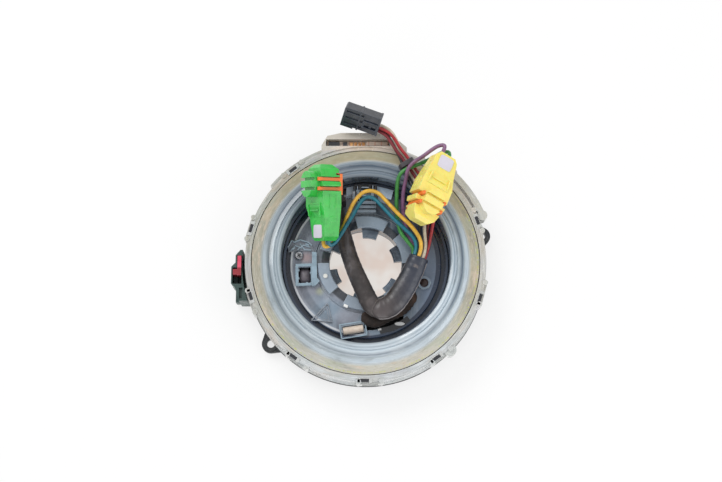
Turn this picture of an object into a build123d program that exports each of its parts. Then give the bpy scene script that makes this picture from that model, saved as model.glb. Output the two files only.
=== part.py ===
from build123d import *
import math
import os

# Steering clock spring: a flat-cable cassette between the steering column (stator)
# and the steering wheel (rotor), with the wheel-side airbag and switch harness.
# Frame: Z is the turning axis and points at the driver, Z = 0 is the face that
# seats on the column switch, +Y is twelve o'clock. Millimetres.

os.makedirs("parts", exist_ok=True)

# ---------------------------------------------------------------- stator sizes
column_bore_r = 21.0          # slides over the column tube
collar_wall = 2.4
collar_height = 6.0
floor_thickness = 2.2
base_r = 64.0
flange_r = 65.6
flange_underside = 3.8
flange_thickness = 2.0
ring_r = 64.6                 # outer face of the clear cover ring
ring_wall = 2.0
ring_lip_r = 65.3
ring_lip_thickness = 1.4
ring_top = 24.0
ring_lid_thickness = 1.4
lid_edge_r = 61.3             # inner edge of the cover ring's top
ear_angles = (15.4, 120.5, 219.5)
ear_hole_place_r = 66.4
ear_hole_r = 2.2
ear_r = 5.0
ear_root_width = 21.0
ear_thickness = 2.8
ear_boss_r = 3.7
ear_boss_height = 0.8
window_count = 10
window_start = 20.0           # angle of the first snap window
window_width = 8.5
window_height = 6.6
window_bottom = 14.2
window_frame = 1.5
frame_depth = 1.2
peg_r = 1.4
peg_offset = 5.4              # degrees from the window's middle to its pegs
hook_width = 7.4
hook_thickness = 1.5
hook_catch = 1.5

# ----------------------------------------------------------------- rotor sizes
hub_bore_r = 19.5
hub_tube_wall = 2.0
hub_tube_bottom = 11.6
hub_plate_top = 16.0
hub_plate_thickness = 2.0
hub_plate_r = 41.0
hub_trough_floor = 12.0
hub_rim_r = 44.6
hub_rim_wall = 1.3
hub_rim_top = 17.0
tooth_ring_r = 26.0
tooth_height = 2.2
tooth_angles = (20.0, 82.0, 142.0, 201.0, 262.0, 320.0)
tooth_span = 41.0
shell_edge_r = 60.9
shell_edge_top = 23.6
shell_thickness = 1.4
collar_r = 44.9               # inner face of the rotor shell's skirt
collar_top = 30.0
skirt_thickness = 1.4
skirt_bottom = 13.0
drive_ring_r = 25.0
drive_ring_bottom = 8.0
drive_ring_thickness = 3.2
tab_tip_r = 15.5
tab_span = 27.0
cable_band = 0.5
cable_pitch = 2.0
cable_turns = 6
cable_bottom = 3.2
cable_top = 20.6

# ---------------------------------------------------------------- harness sizes
sleeve_r = 5.2
wire_r = 1.05
red_wire_r = 0.85
plug_length = 40.0
plug_width = 18.0
plug_wire_end_width = 12.6
plug_thickness = 11.0
plug_wire_end_thickness = 8.4
nose_height = 5.0
nose_length = 13.6
nose_width = 11.0
black_plug_length = 20.6
black_plug_width = 10.2
black_plug_thickness = 8.2
tie_width = 2.4
tie_thickness = 1.0

# -------------------------------------------------------------------- clearances
seat_gap = 0.3                # between pieces that sit on each other
slide_gap = 0.35              # each side of a sliding piece

# ----------------------------------------------------------------- derived sizes
flange_top = flange_underside + flange_thickness
ring_inner_r = ring_r - ring_wall
window_top = window_bottom + window_height
window_pitch = 360.0 / window_count
window_angles = [window_start + window_pitch * i for i in range(window_count)]
hub_plate_bottom = hub_plate_top - hub_plate_thickness
tooth_top = hub_plate_top + tooth_height
drive_ring_top = drive_ring_bottom + drive_ring_thickness


def radial_plane(angle, height=0.0):
    """Upright plane through the axis: local x runs outwards, local y runs up."""
    turn = math.radians(angle)
    return Plane(
        origin=(0, 0, height),
        x_dir=(math.cos(turn), math.sin(turn), 0),
        z_dir=(math.sin(turn), -math.cos(turn), 0),
    )


def wall_plane(angle, radius, height):
    """Upright plane that faces outwards at a radius: local y runs up."""
    turn = math.radians(angle)
    return Plane(
        origin=(radius * math.cos(turn), radius * math.sin(turn), height),
        x_dir=(-math.sin(turn), math.cos(turn), 0),
        z_dir=(math.cos(turn), math.sin(turn), 0),
    )


def turned_plane(angle, height):
    """Level plane turned about the axis: local x runs outwards at the angle."""
    return Plane.XY.offset(height).rotated((0, 0, angle))


def save(part, name):
    part.label = name
    export_step(part, f"parts/{name}.step")


# ============================================================== stator: the base
ear_bottom = flange_underside - 1.6
ear_root_r = base_r - 5.0
hook_outer_r = ring_inner_r - seat_gap
hook_inner_r = hook_outer_r - hook_thickness
hook_catch_bottom = window_bottom + 0.6
hook_top = window_top - 0.6
seat_ring_r = ring_inner_r

with BuildPart() as base_housing:
    with BuildSketch(Plane.XZ) as base_section:
        with BuildLine():
            Polyline(
                (column_bore_r, 0),
                (base_r, 0),
                (base_r, flange_underside),
                (flange_r, flange_underside + 0.4),
                (flange_r, flange_top),
                (seat_ring_r, flange_top),
                (seat_ring_r, floor_thickness),
                (column_bore_r + collar_wall, floor_thickness),
                (column_bore_r + collar_wall, collar_height),
                (column_bore_r, collar_height),
                close=True,
            )
        make_face()
    revolve(axis=Axis.Z)
    # screw ears that blend into the rim
    for angle in ear_angles:
        with BuildSketch(turned_plane(angle, ear_bottom)) as ear_plan:
            with Locations((ear_hole_place_r, 0)):
                Circle(ear_r)
            with Locations((ear_root_r, 0)):
                Rectangle(1, ear_root_width)
            make_hull()
        extrude(amount=ear_thickness)
        with BuildSketch(turned_plane(angle, ear_bottom + ear_thickness)) as ear_boss:
            with Locations((ear_hole_place_r, 0)):
                Circle(ear_boss_r)
        extrude(amount=ear_boss_height)
    with BuildSketch(Plane.XY.offset(floor_thickness)) as bowl:
        Circle(seat_ring_r)
        Circle(column_bore_r + collar_wall, mode=Mode.SUBTRACT)
    extrude(amount=flange_top, mode=Mode.SUBTRACT)
    for angle in ear_angles:
        with BuildSketch(turned_plane(angle, 0)) as ear_hole:
            with Locations((ear_hole_place_r, 0)):
                Circle(ear_hole_r)
        extrude(amount=flange_top + ear_boss_height, mode=Mode.SUBTRACT)
    # snap hooks that reach up into the cover ring's windows
    for angle in window_angles:
        with BuildSketch(radial_plane(angle)) as hook_section:
            with BuildLine():
                Polyline(
                    (hook_inner_r, floor_thickness - 0.4),
                    (hook_outer_r, floor_thickness - 0.4),
                    (hook_outer_r, hook_catch_bottom),
                    (hook_outer_r + hook_catch, hook_catch_bottom),
                    (hook_outer_r + hook_catch, hook_catch_bottom + 1.6),
                    (hook_outer_r, hook_top),
                    (hook_inner_r, hook_top),
                    close=True,
                )
            make_face()
        extrude(amount=hook_width / 2, both=True)

# ======================================================= stator: clear cover ring
box_outline = [
    (-24.0, 52.0), (-24.0, 64.0), (-20.8, 69.4), (-13.7, 71.0),
    (6.7, 71.0), (18.7, 66.2), (22.5, 62.8), (22.5, 52.0),
]
box_top = ring_top + 0.8
pocket_inner_y = 63.6
pocket_outer_y = 67.4
pocket_left = -21.6
pocket_right = 13.2
pocket_floor = 7.6
step_start = 111.0
step_end = 141.0
step_r = 66.4
bump_angle = 313.0
bump_place_r = 65.2
bump_r = 3.4
arm_r = 68.0
arm_width = 3.4
arm_bottom = 15.0
arm_top = 22.6
arm_start = 21.8
arm_end = 46.0
arm_end_r = 2.7

with BuildPart() as cover_ring:
    with BuildSketch(Plane.XZ) as ring_section:
        with BuildLine():
            Polyline(
                (ring_inner_r, flange_top),
                (ring_lip_r, flange_top),
                (ring_lip_r, flange_top + ring_lip_thickness),
                (ring_r, flange_top + ring_lip_thickness + 0.6),
                (ring_r, ring_top - 0.7),
                (ring_r - 0.7, ring_top),
                (lid_edge_r, ring_top),
                (lid_edge_r, ring_top - ring_lid_thickness),
                (ring_inner_r, ring_top - ring_lid_thickness),
                close=True,
            )
        make_face()
    revolve(axis=Axis.Z)
    # cable box at twelve o'clock
    with BuildSketch(Plane.XY.offset(flange_top)) as box_plan:
        with BuildLine():
            Polyline(*box_outline, close=True)
        make_face()
        Circle(ring_inner_r + 0.6, mode=Mode.SUBTRACT)
    extrude(amount=box_top - flange_top)
    # thicker wall beside the box
    with BuildSketch(Plane.XY.offset(flange_top + 2)) as step_plan:
        with BuildLine():
            CenterArc((0, 0), step_r, step_start, step_end - step_start)
            CenterArc((0, 0), ring_r - 0.8, step_start, step_end - step_start)
            Line(
                (step_r * math.cos(math.radians(step_start)),
                 step_r * math.sin(math.radians(step_start))),
                ((ring_r - 0.8) * math.cos(math.radians(step_start)),
                 (ring_r - 0.8) * math.sin(math.radians(step_start))),
            )
            Line(
                (step_r * math.cos(math.radians(step_end)),
                 step_r * math.sin(math.radians(step_end))),
                ((ring_r - 0.8) * math.cos(math.radians(step_end)),
                 (ring_r - 0.8) * math.sin(math.radians(step_end))),
            )
        make_face()
    extrude(amount=ring_top - flange_top - 3.2)
    # small rest bump
    with BuildSketch(turned_plane(bump_angle, ring_top - 9)) as bump_plan:
        with Locations((bump_place_r, 0)):
            Circle(bump_r)
        Circle(ring_inner_r + 0.6, mode=Mode.SUBTRACT)
    extrude(amount=8)
    # latch arm that runs round the rim and ends in a round knob
    with BuildSketch(Plane.XY.offset(arm_bottom)) as arm_plan:
        with BuildLine() as arm_line:
            CenterArc((0, 0), arm_r, arm_start, arm_end - arm_start)
        trace(line_width=arm_width)
        with Locations(arm_line.line @ 0):
            Circle(arm_end_r)
        with Locations(arm_line.line @ 1):
            Circle(arm_end_r)
    extrude(amount=arm_top - arm_bottom)
    with BuildSketch(turned_plane(arm_end, arm_bottom)) as arm_root:
        with Locations((0.5 * (ring_r + arm_r) - 0.4, 0)):
            Rectangle(arm_r - ring_r + 0.8, 2 * arm_end_r)
    extrude(amount=arm_top - arm_bottom)
    # raised frames and pegs round the snap windows
    for angle in window_angles:
        frame_plane = wall_plane(angle, ring_r - 0.9, window_bottom + window_height / 2)
        with BuildSketch(frame_plane) as frame_plan:
            RectangleRounded(
                window_width + 2 * window_frame, window_height + 2 * window_frame - 0.6, 1.0
            )
        extrude(amount=0.9 + frame_depth)
        for side in (-1, 1):
            with BuildSketch(turned_plane(angle + side * peg_offset, window_bottom - 1.5)) as peg:
                with Locations((ring_r + 0.2, 0)):
                    Circle(peg_r)
            extrude(amount=ring_top + 0.6 - window_bottom + 1.5)
    for angle in window_angles:
        cut_plane = wall_plane(angle, ring_inner_r - 1.0, window_bottom + window_height / 2)
        with BuildSketch(cut_plane) as window:
            Rectangle(window_width, window_height)
        extrude(amount=ring_wall + 1.0 + frame_depth + 1.0, mode=Mode.SUBTRACT)
    with BuildSketch(Plane.XY.offset(pocket_floor)) as pocket:
        with Locations(((pocket_left + pocket_right) / 2, (pocket_inner_y + pocket_outer_y) / 2)):
            Rectangle(pocket_right - pocket_left, pocket_outer_y - pocket_inner_y)
        Circle(ring_inner_r + 0.7, mode=Mode.SUBTRACT)
    extrude(amount=box_top, mode=Mode.SUBTRACT)

# ================================================ stator: terminal block in the box
block_gap = slide_gap
with BuildPart() as stator_terminal:
    with BuildSketch(Plane.XY.offset(pocket_floor)) as block_plan:
        with Locations(((pocket_left + pocket_right) / 2, (pocket_inner_y + pocket_outer_y) / 2)):
            Rectangle(
                pocket_right - pocket_left - 2 * block_gap,
                pocket_outer_y - pocket_inner_y - 2 * block_gap,
            )
        Circle(ring_inner_r + 0.7 + block_gap, mode=Mode.SUBTRACT)
    extrude(amount=box_top - 3.6 - pocket_floor)

# ================================================= stator: centring lock and slider
lock_left = -70.0
lock_bulge_left = -72.2
lock_top_y = 6.8
lock_bottom_y = -21.0
lock_height = 19.5
lock_inner_r = ring_r + 0.2 + peg_r + seat_gap
slot_right = -66.5
slot_left = -69.2
slot_top_y = 3.8
slot_bottom_y = -11.8
slot_floor = 9.0
slider_length = 10.6
nub_length = 3.6
nub_end_x = -71.2
nub_bottom = 12.0

with BuildPart() as lock_housing:
    with BuildSketch(Plane.XY.offset(0.6)) as lock_plan:
        with BuildLine():
            Polyline(
                (-60.0, lock_top_y),
                (lock_left + 2.5, lock_top_y),
                (lock_left, lock_top_y - 3.0),
                (lock_left, lock_top_y - 7.0),
                (lock_bulge_left, lock_top_y - 9.2),
                (lock_bulge_left, lock_bottom_y + 9.4),
                (lock_left, lock_bottom_y + 7.2),
                (lock_left + 2.2, lock_bottom_y),
                (-60.0, lock_bottom_y),
                close=True,
            )
        make_face()
        Circle(lock_inner_r, mode=Mode.SUBTRACT)
    extrude(amount=lock_height - 0.6)
    # foot that fills in to the rim below the cover ring's pegs
    with BuildSketch(Plane.XY.offset(0.6)) as foot_plan:
        with Locations((-(flange_r + 2), (lock_top_y + lock_bottom_y) / 2)):
            Rectangle(6, lock_top_y - lock_bottom_y - 2)
        Circle(flange_r + seat_gap, mode=Mode.SUBTRACT)
    extrude(amount=flange_top + ring_lip_thickness)
    with BuildSketch(Plane.XY.offset(slot_floor)) as lock_slot:
        with Locations(((slot_left + slot_right) / 2, (slot_top_y + slot_bottom_y) / 2)):
            Rectangle(slot_right - slot_left, slot_top_y - slot_bottom_y)
    extrude(amount=lock_height, mode=Mode.SUBTRACT)
    nub_slot_top = slot_top_y - (slider_length - nub_length) + slide_gap
    with BuildSketch(Plane.XY.offset(nub_bottom - slide_gap)) as nub_slot:
        with Locations(((slot_left + nub_end_x) / 2, (nub_slot_top + slot_bottom_y) / 2)):
            Rectangle(slot_left - nub_end_x + 2 * slide_gap, nub_slot_top - slot_bottom_y)
    extrude(amount=lock_height, mode=Mode.SUBTRACT)
    # grey tail slot below the slider
    with BuildSketch(Plane.XY.offset(lock_height - 2.0)) as tail_slot:
        with Locations((lock_left + 3.2, slot_bottom_y - 5.0)):
            Rectangle(2.0, 6.0)
    extrude(amount=3, mode=Mode.SUBTRACT)

slider_top_y = slot_top_y - slide_gap
slider_bottom_y = slider_top_y - slider_length
with BuildPart() as lock_slider:
    with BuildSketch(Plane.XY.offset(slot_floor + seat_gap)) as slider_plan:
        with Locations(((slot_left + slot_right) / 2, (slider_top_y + slider_bottom_y) / 2)):
            Rectangle(slot_right - slot_left - 2 * slide_gap, slider_length)
    extrude(amount=lock_height + 0.6 - slot_floor - seat_gap)
    with BuildSketch(Plane.XY.offset(nub_bottom)) as nub_plan:
        with Locations(((slot_left + nub_end_x) / 2 + 0.4, slider_bottom_y + nub_length / 2)):
            Rectangle(slot_left - nub_end_x + 0.8, nub_length - 2 * slide_gap)
    extrude(amount=lock_height + 0.6 - nub_bottom)

# ============================================================= rotor: stepped shell
shell_top = [
    (shell_edge_r, shell_edge_top),
    (55.6, shell_edge_top),
    (54.9, 24.6),
    (53.2, 25.4),
    (52.2, 27.4),
    (51.4, 28.0),
    (49.2, 28.5),
    (48.6, 28.0),
    (48.1, 29.2),
    (46.4, collar_top),
    (collar_r + 0.3, collar_top - 0.5),
]
with BuildPart() as rotor_shell:
    with BuildSketch(Plane.XZ) as shell_section:
        with BuildLine():
            Polyline(
                *shell_top,
                (collar_r, collar_top - 1.0),
                (collar_r, skirt_bottom),
                (collar_r + skirt_thickness, skirt_bottom),
                (collar_r + skirt_thickness, collar_top - 3.2),
                (47.6, 27.2),
                (48.8, 26.4),
                (50.9, 26.5),
                (52.3, 24.2),
                (54.2, 23.2),
                (55.0, shell_edge_top - shell_thickness),
                (shell_edge_r, shell_edge_top - shell_thickness),
                close=True,
            )
        make_face()
    revolve(axis=Axis.Z)

# ================================================================ rotor: hub plate
pocket_origin = (-32.8, -6.6)
pocket_turn = 2.0
pocket_size = (6.6, 8.6)
pocket_frame_size = (9.8, 12.0)
pocket_frame_height = 1.4
strip_r_in = 27.0
slot_start = -88.0
slot_end = -58.0
slot_mid_r = 34.2
slot_width = 4.6
boss_place = (31.5, -10.9)
boss_r = 3.6
boss_hole_r = 1.7
boss_height = 1.6
screw_place = (-36.0, 4.2)
triangle_corners = [(-20.2, -21.6), (-29.4, -31.2), (-17.8, -32.3)]
clip_place = (-6.6, -36.4)
clip_turn = 9.0
clip_frame_size = (14.4, 8.4)
clip_recess_size = (11.4, 5.4)
clip_frame_height = 1.2
latch_left = -6.4
latch_right = 5.2
latch_rail = 1.3
latch_rail_start = 34.8
latch_rail_end = 43.0
latch_rail_height = 4.6
slat_places = (28.6, 31.0, 33.4)
latch_pad_corners = (
    ((-10.6, 39.0), (-7.9, 39.0), (-7.9, 36.2), (-10.6, 36.2)),
    ((6.4, 39.2), (12.6, 37.4), (11.4, 33.2), (7.2, 34.4)),
)
outlet_angle = 119.0
outlet_r = 33.0
outlet_length = 9.0
outlet_width = 15.0
outlet_height = 10.6

with BuildPart() as hub_plate:
    with BuildSketch(Plane.XZ) as hub_section:
        with BuildLine():
            Polyline(
                (hub_bore_r, hub_tube_bottom),
                (hub_bore_r + hub_tube_wall, hub_tube_bottom),
                (hub_bore_r + hub_tube_wall, hub_plate_bottom),
                (hub_plate_r - 1.6, hub_plate_bottom),
                (hub_plate_r - 1.6, hub_trough_floor - 1.4),
                (hub_rim_r, hub_trough_floor - 1.4),
                (hub_rim_r, hub_rim_top),
                (hub_rim_r - hub_rim_wall, hub_rim_top),
                (hub_rim_r - hub_rim_wall, hub_trough_floor),
                (hub_plate_r, hub_trough_floor),
                (hub_plate_r, hub_plate_top - 0.5),
                (hub_plate_r - 0.5, hub_plate_top),
                (hub_bore_r, hub_plate_top),
                close=True,
            )
        make_face()
    revolve(axis=Axis.Z)
    # castellated ring round the bore
    for angle in tooth_angles:
        with BuildSketch(radial_plane(angle - tooth_span / 2)) as tooth_section:
            with BuildLine():
                Polyline(
                    (hub_bore_r, hub_plate_top - 0.5),
                    (tooth_ring_r, hub_plate_top - 0.5),
                    (tooth_ring_r, tooth_top - 0.5),
                    (tooth_ring_r - 0.5, tooth_top),
                    (hub_bore_r + 0.5, tooth_top),
                    (hub_bore_r, tooth_top - 0.5),
                    close=True,
                )
            make_face()
        revolve(axis=Axis.Z, revolution_arc=tooth_span)
    # raised frame of the square pocket and of the pin clip
    with BuildSketch(Plane.XY.offset(hub_plate_top - 0.5)) as raised_frames:
        with Locations(Location((*pocket_origin, 0), pocket_turn)):
            RectangleRounded(*pocket_frame_size, 1.2)
        with Locations(Location((*clip_place, 0), clip_turn)):
            RectangleRounded(*clip_frame_size, 1.0)
    extrude(amount=0.5 + clip_frame_height)
    # screw boss on the right
    with BuildSketch(Plane.XY.offset(hub_plate_top - 0.5)) as boss_plan:
        with Locations(boss_place):
            Circle(boss_r)
    extrude(amount=0.5 + boss_height)
    # bare raised triangle
    with BuildSketch(Plane.XY.offset(hub_plate_top - 0.3)) as triangle:
        with BuildLine():
            Polyline(*triangle_corners, close=True)
        make_face()
        fillet(triangle.vertices(), 1.6)
        offset(amount=-1.3, mode=Mode.SUBTRACT)
    extrude(amount=0.3 + 0.5)
    # flat pads each side of the wheel latch
    with BuildSketch(Plane.XY.offset(hub_plate_top - 0.5)) as latch_pads:
        for corners in latch_pad_corners:
            with BuildLine():
                Polyline(*corners, close=True)
            make_face()
    extrude(amount=0.5 + 0.9)
    # groove between the castellated ring and the plate
    with BuildSketch(Plane.XY.offset(hub_plate_top - 0.7)) as ring_groove:
        Circle(tooth_ring_r + 1.7)
        Circle(tooth_ring_r + 0.8, mode=Mode.SUBTRACT)
    extrude(amount=0.7, mode=Mode.SUBTRACT)
    # wheel latch at twelve o'clock: two rails and three slats
    with BuildSketch(Plane.XY.offset(hub_plate_top - 0.5)) as latch_rails:
        for rail_x in (latch_left, latch_left + 2.6, latch_right - 1.4):
            with Locations((rail_x, (latch_rail_start + latch_rail_end) / 2 - 1.5)):
                Rectangle(latch_rail, latch_rail_end - latch_rail_start - 3)
    extrude(amount=0.5 + latch_rail_height)
    with BuildSketch(Plane.XY.offset(hub_plate_top - 0.5)) as latch_slats:
        for slat_y in slat_places:
            with Locations(((latch_left + latch_right) / 2 + 1.2, slat_y)):
                Rectangle(latch_right - latch_left - 1.6, 1.4)
    extrude(amount=0.5 + 2.6)
    # openings through the plate
    with BuildSketch(Plane.XY.offset(hub_plate_bottom - 1)) as openings:
        with Locations(Location((*pocket_origin, 0), pocket_turn)):
            RectangleRounded(*pocket_size, 0.8)
        with BuildLine() as slot_line:
            CenterArc((0, 0), slot_mid_r, slot_start, slot_end - slot_start)
        trace(line_width=slot_width)
        with Locations(slot_line.line @ 0, slot_line.line @ 1):
            Circle(slot_width / 2)
        with Locations(boss_place):
            Circle(boss_hole_r)
    extrude(amount=hub_plate_thickness + 1 + boss_height + 1, mode=Mode.SUBTRACT)
    # recess for the pin clip
    with BuildSketch(Plane.XY.offset(hub_plate_top - 0.8)) as clip_recess:
        with Locations(Location((*clip_place, 0), clip_turn)):
            RectangleRounded(*clip_recess_size, 0.5)
    extrude(amount=clip_frame_height + 2, mode=Mode.SUBTRACT)

# ============================================================ rotor: six drive tabs
with BuildPart() as drive_ring:
    with BuildSketch(Plane.XY.offset(drive_ring_bottom)) as drive_plan:
        Circle(drive_ring_r)
        Circle(hub_bore_r, mode=Mode.SUBTRACT)
    extrude(amount=drive_ring_thickness)
    for angle in tooth_angles:
        with BuildSketch(radial_plane(angle - tab_span / 2)) as tab_section:
            with BuildLine():
                Polyline(
                    (tab_tip_r, drive_ring_bottom),
                    (hub_bore_r + 0.5, drive_ring_bottom),
                    (hub_bore_r + 0.5, drive_ring_top),
                    (tab_tip_r + 0.8, drive_ring_top),
                    (tab_tip_r, drive_ring_top - 0.8),
                    close=True,
                )
            make_face()
        revolve(axis=Axis.Z, revolution_arc=tab_span)

# ========================================================== rotor: wound flat cable
def spiral_edge(inner_r, shift):
    """Half-turn arcs whose centres alternate, shifted sideways by half the band."""
    step = cable_pitch / 2
    for half_turn in range(2 * cable_turns):
        centre_x = 0 if half_turn % 2 == 0 else step
        start = 0 if half_turn % 2 == 0 else 180
        CenterArc((centre_x, 0), inner_r + shift + half_turn * step, start, 180)


cable_inner_r = collar_r + skirt_thickness + seat_gap + cable_band / 2
cable_outer_r = cable_inner_r + cable_turns * cable_pitch
with BuildPart() as flat_cable:
    with BuildSketch(Plane.XY.offset(cable_bottom)) as band:
        with BuildLine():
            spiral_edge(cable_inner_r, -cable_band / 2)
            spiral_edge(cable_inner_r, cable_band / 2)
            Line((cable_inner_r - cable_band / 2, 0), (cable_inner_r + cable_band / 2, 0))
            Line((cable_outer_r - cable_band / 2, 0), (cable_outer_r + cable_band / 2, 0))
        make_face()
    extrude(amount=cable_top - cable_bottom)

# ================================================================ rotor: small pieces
pin_r = 2.0
with BuildPart() as clip_pin:
    pin_turn = math.radians(clip_turn)
    pin_half = clip_recess_size[0] / 2 - slide_gap
    pin_plane = Plane(
        origin=(
            clip_place[0] - pin_half * math.cos(pin_turn),
            clip_place[1] - pin_half * math.sin(pin_turn),
            hub_plate_top - 0.8 + seat_gap + pin_r,
        ),
        x_dir=(0, 0, 1),
        z_dir=(math.cos(pin_turn), math.sin(pin_turn), 0),
    )
    with BuildSketch(pin_plane) as pin_plan:
        Circle(pin_r)
    extrude(amount=2 * pin_half)

with BuildPart() as hub_screw:
    with BuildSketch(Plane.XY.offset(hub_plate_top)) as head_plan:
        with Locations(screw_place):
            Circle(2.4)
    extrude(amount=1.7)
    chamfer(hub_screw.faces().sort_by(Axis.Z)[-1].edges(), 0.5)

with BuildPart() as ring_pin:
    with BuildSketch(Plane.XY.offset(tooth_top)) as ring_pin_plan:
        with Locations((-21.6, -7.4)):
            Circle(1.2)
    extrude(amount=0.9)

# ==================================================================== rotor: plugs
plug_hole = 2.3
nose_place = plug_length - 10.4
prong_width = 1.8               # along the plug
prong_thickness = 1.2
prong_pitch = 5.0
prong_spacing = nose_width + 2 * slide_gap + prong_thickness
groove_depth = 3.4              # side grooves that the prongs lie in
head_length = 11.0
head_width = prong_spacing + prong_thickness
thumb_length = 14.6
thumb_width = 7.0
head_thickness = 2.0
wire_spacing = 4.2


def side_plane(place):
    """The plug's side view: local x along the plug, local y through its thickness."""
    return Plane(place.origin, x_dir=place.x_dir, z_dir=-place.y_dir)


def squib_plug(place):
    """Right-angle airbag plug: wires at x = 0, round mating nose near the far end."""
    with BuildPart() as plug:
        with BuildSketch(place):
            with BuildLine():
                Polyline(
                    (0, 1.9 - plug_wire_end_width / 2),
                    (2.2, -plug_wire_end_width / 2),
                    (18, -plug_width / 2),
                    (plug_length - 11, -plug_width / 2),
                    (plug_length - 2.4, 2.6 - plug_width / 2),
                    (plug_length, 5.4 - plug_width / 2),
                    (plug_length, plug_width / 2 - 5.4),
                    (plug_length - 2.4, plug_width / 2 - 2.6),
                    (plug_length - 11, plug_width / 2),
                    (18, plug_width / 2),
                    (2.2, plug_wire_end_width / 2),
                    (0, plug_wire_end_width / 2 - 1.9),
                    close=True,
                )
            make_face()
        extrude(amount=plug_thickness)
        with BuildSketch(side_plane(place)) as side_view:
            with BuildLine():
                Polyline(
                    (0, 0.8),
                    (1.6, 0),
                    (plug_length - 2.5, 0),
                    (plug_length, 2.5),
                    (plug_length, plug_thickness - 1.8),
                    (plug_length - 1.8, plug_thickness),
                    (18, plug_thickness),
                    (12, plug_wire_end_thickness + 0.8),
                    (0, plug_wire_end_thickness),
                    close=True,
                )
            make_face()
        extrude(amount=plug_width, both=True, mode=Mode.INTERSECT)
        with BuildSketch(place.offset(plug_thickness - 0.5)) as nose_plan:
            with Locations((nose_place, 0)):
                SlotCenterToCenter(nose_length - nose_width, nose_width)
        extrude(amount=nose_height + 0.5)
        # open side grooves for the locking clip's prongs
        with BuildSketch(place) as prong_grooves:
            with Locations((nose_place, 0)):
                for side in (-1, 1):
                    with Locations((0, side * (plug_width / 2 - groove_depth / 2 + 0.5))):
                        with GridLocations(prong_pitch, 0, 2, 1):
                            Rectangle(prong_width + 2 * slide_gap, groove_depth + 1)
        extrude(amount=plug_thickness + 1, mode=Mode.SUBTRACT)
        with BuildSketch(place) as head_recess:
            with Locations((nose_place, 0)):
                Rectangle(head_length + 2 * slide_gap, head_width + 2 * slide_gap)
                Rectangle(thumb_length + 2 * slide_gap, thumb_width + 2 * slide_gap)
        extrude(amount=head_thickness, mode=Mode.SUBTRACT)
        # slot across the nose's face and a rib down each broad side
        with BuildSketch(place.offset(plug_thickness + nose_height - 2.2)) as nose_slots:
            with Locations((nose_place, 0)):
                with GridLocations(prong_pitch, 0, 2, 1):
                    Rectangle(1.6, nose_width + 2)
        extrude(amount=3, mode=Mode.SUBTRACT)
    return plug.part


def squib_clip(place, pulled):
    """Locking clip: a head in the plug's back and two prongs through its nose."""
    back = place.offset(-pulled)
    with BuildPart() as clip:
        with BuildSketch(back):
            with Locations((nose_place, 0)):
                Rectangle(head_length, head_width)
                Rectangle(thumb_length, thumb_width)
        extrude(amount=head_thickness - seat_gap)
        with BuildSketch(back) as prongs:
            with Locations((nose_place, 0)):
                with GridLocations(prong_pitch, prong_spacing, 2, 2):
                    Rectangle(prong_width, prong_thickness)
        extrude(amount=plug_thickness + nose_height - 1.4)
    return clip.part


def leaning_plane(origin, heading, rise, roll):
    """Plane whose x axis has a heading and a rise; roll leans it about that axis."""
    turn, up, lean = (math.radians(v) for v in (heading, rise, roll))
    along = Vector(math.cos(turn) * math.cos(up), math.sin(turn) * math.cos(up), math.sin(up))
    level = Vector(-math.sin(turn), math.cos(turn), 0)
    normal = along.cross(level)
    return Plane(origin, x_dir=along, z_dir=normal * math.cos(lean) + level * math.sin(lean))


green_place = leaning_plane((-17.5, 8.5, 33.9), 90.0, 12.0, 58.0)
yellow_place = leaning_plane((40.6, 53.6, 34.8), 247.0, 5.0, 23.0)
green_clip_pull = 2.0
green_plug = squib_plug(green_place)
green_clip = squib_clip(green_place, green_clip_pull)
yellow_plug = squib_plug(yellow_place)
yellow_clip = squib_clip(yellow_place, 0)

# the switch plug leans out over the cable box, held by its own short wires
black_place = leaning_plane((7.9, 73.2, 32.0), 161.0, 4.0, 42.0)
black_foot = 0.8
black_foot_length = 7.0
rib_depth = 0.8
with BuildPart() as black_plug:
    with BuildSketch(black_place.offset(-black_plug_thickness / 2)) as black_plan:
        with BuildLine():
            Polyline(
                (0, -black_plug_width / 2),
                (black_plug_length - 0.6, -black_plug_width / 2),
                (black_plug_length, -black_plug_width / 2 + 0.6),
                (black_plug_length, black_plug_width / 2 + black_foot),
                (black_plug_length - black_foot_length, black_plug_width / 2 + black_foot),
                (black_plug_length - black_foot_length, black_plug_width / 2),
                (0, black_plug_width / 2),
                close=True,
            )
        make_face()
    extrude(amount=black_plug_thickness)
    # long ribs on the mating half, two latch windows on the wire half
    with BuildSketch(black_place.offset(black_plug_thickness / 2 - rib_depth)) as rib_grooves:
        with Locations((black_plug_length - 6.2, 0)):
            with GridLocations(0, 3.4, 1, 3):
                Rectangle(10.0, 1.1)
        with Locations((6.8, 0.8), (2.8, 0.8)):
            RectangleRounded(2.8, 4.6, 0.4)
    extrude(amount=2 * rib_depth, mode=Mode.SUBTRACT)


# =============================================================== rotor: free wires
def route_radii(points):
    """Each arc takes 0.45 of the shorter of its two runs."""
    radii = []
    for before, corner, after in zip(points, points[1:], points[2:]):
        run_in = Vector(*corner) - Vector(*before)
        run_out = Vector(*after) - Vector(*corner)
        half_turn = math.radians(run_in.get_angle(run_out)) / 2
        radii.append(0.45 * min(run_in.length, run_out.length) / math.tan(half_turn))
    return radii


def cord_tube(name, points, radius):
    """A plain tube along straight runs joined by tangent arcs."""
    radii = route_radii(points)
    with BuildPart() as cord:
        with BuildLine() as route:
            FilletPolyline(*points, radius=radii)
        path = route.wires()[0]
        with BuildSketch(Plane(path @ 0, z_dir=path % 0)):
            Circle(radius)
        sweep()
    ratio = cord.part.volume / (math.pi * radius**2 * path.length)
    print(f"{name}: length {path.length:.1f}, volume ratio {ratio:.4f},"
          f" arc radii {', '.join(f'{r:.1f}' for r in radii)}")
    return cord.part


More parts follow.
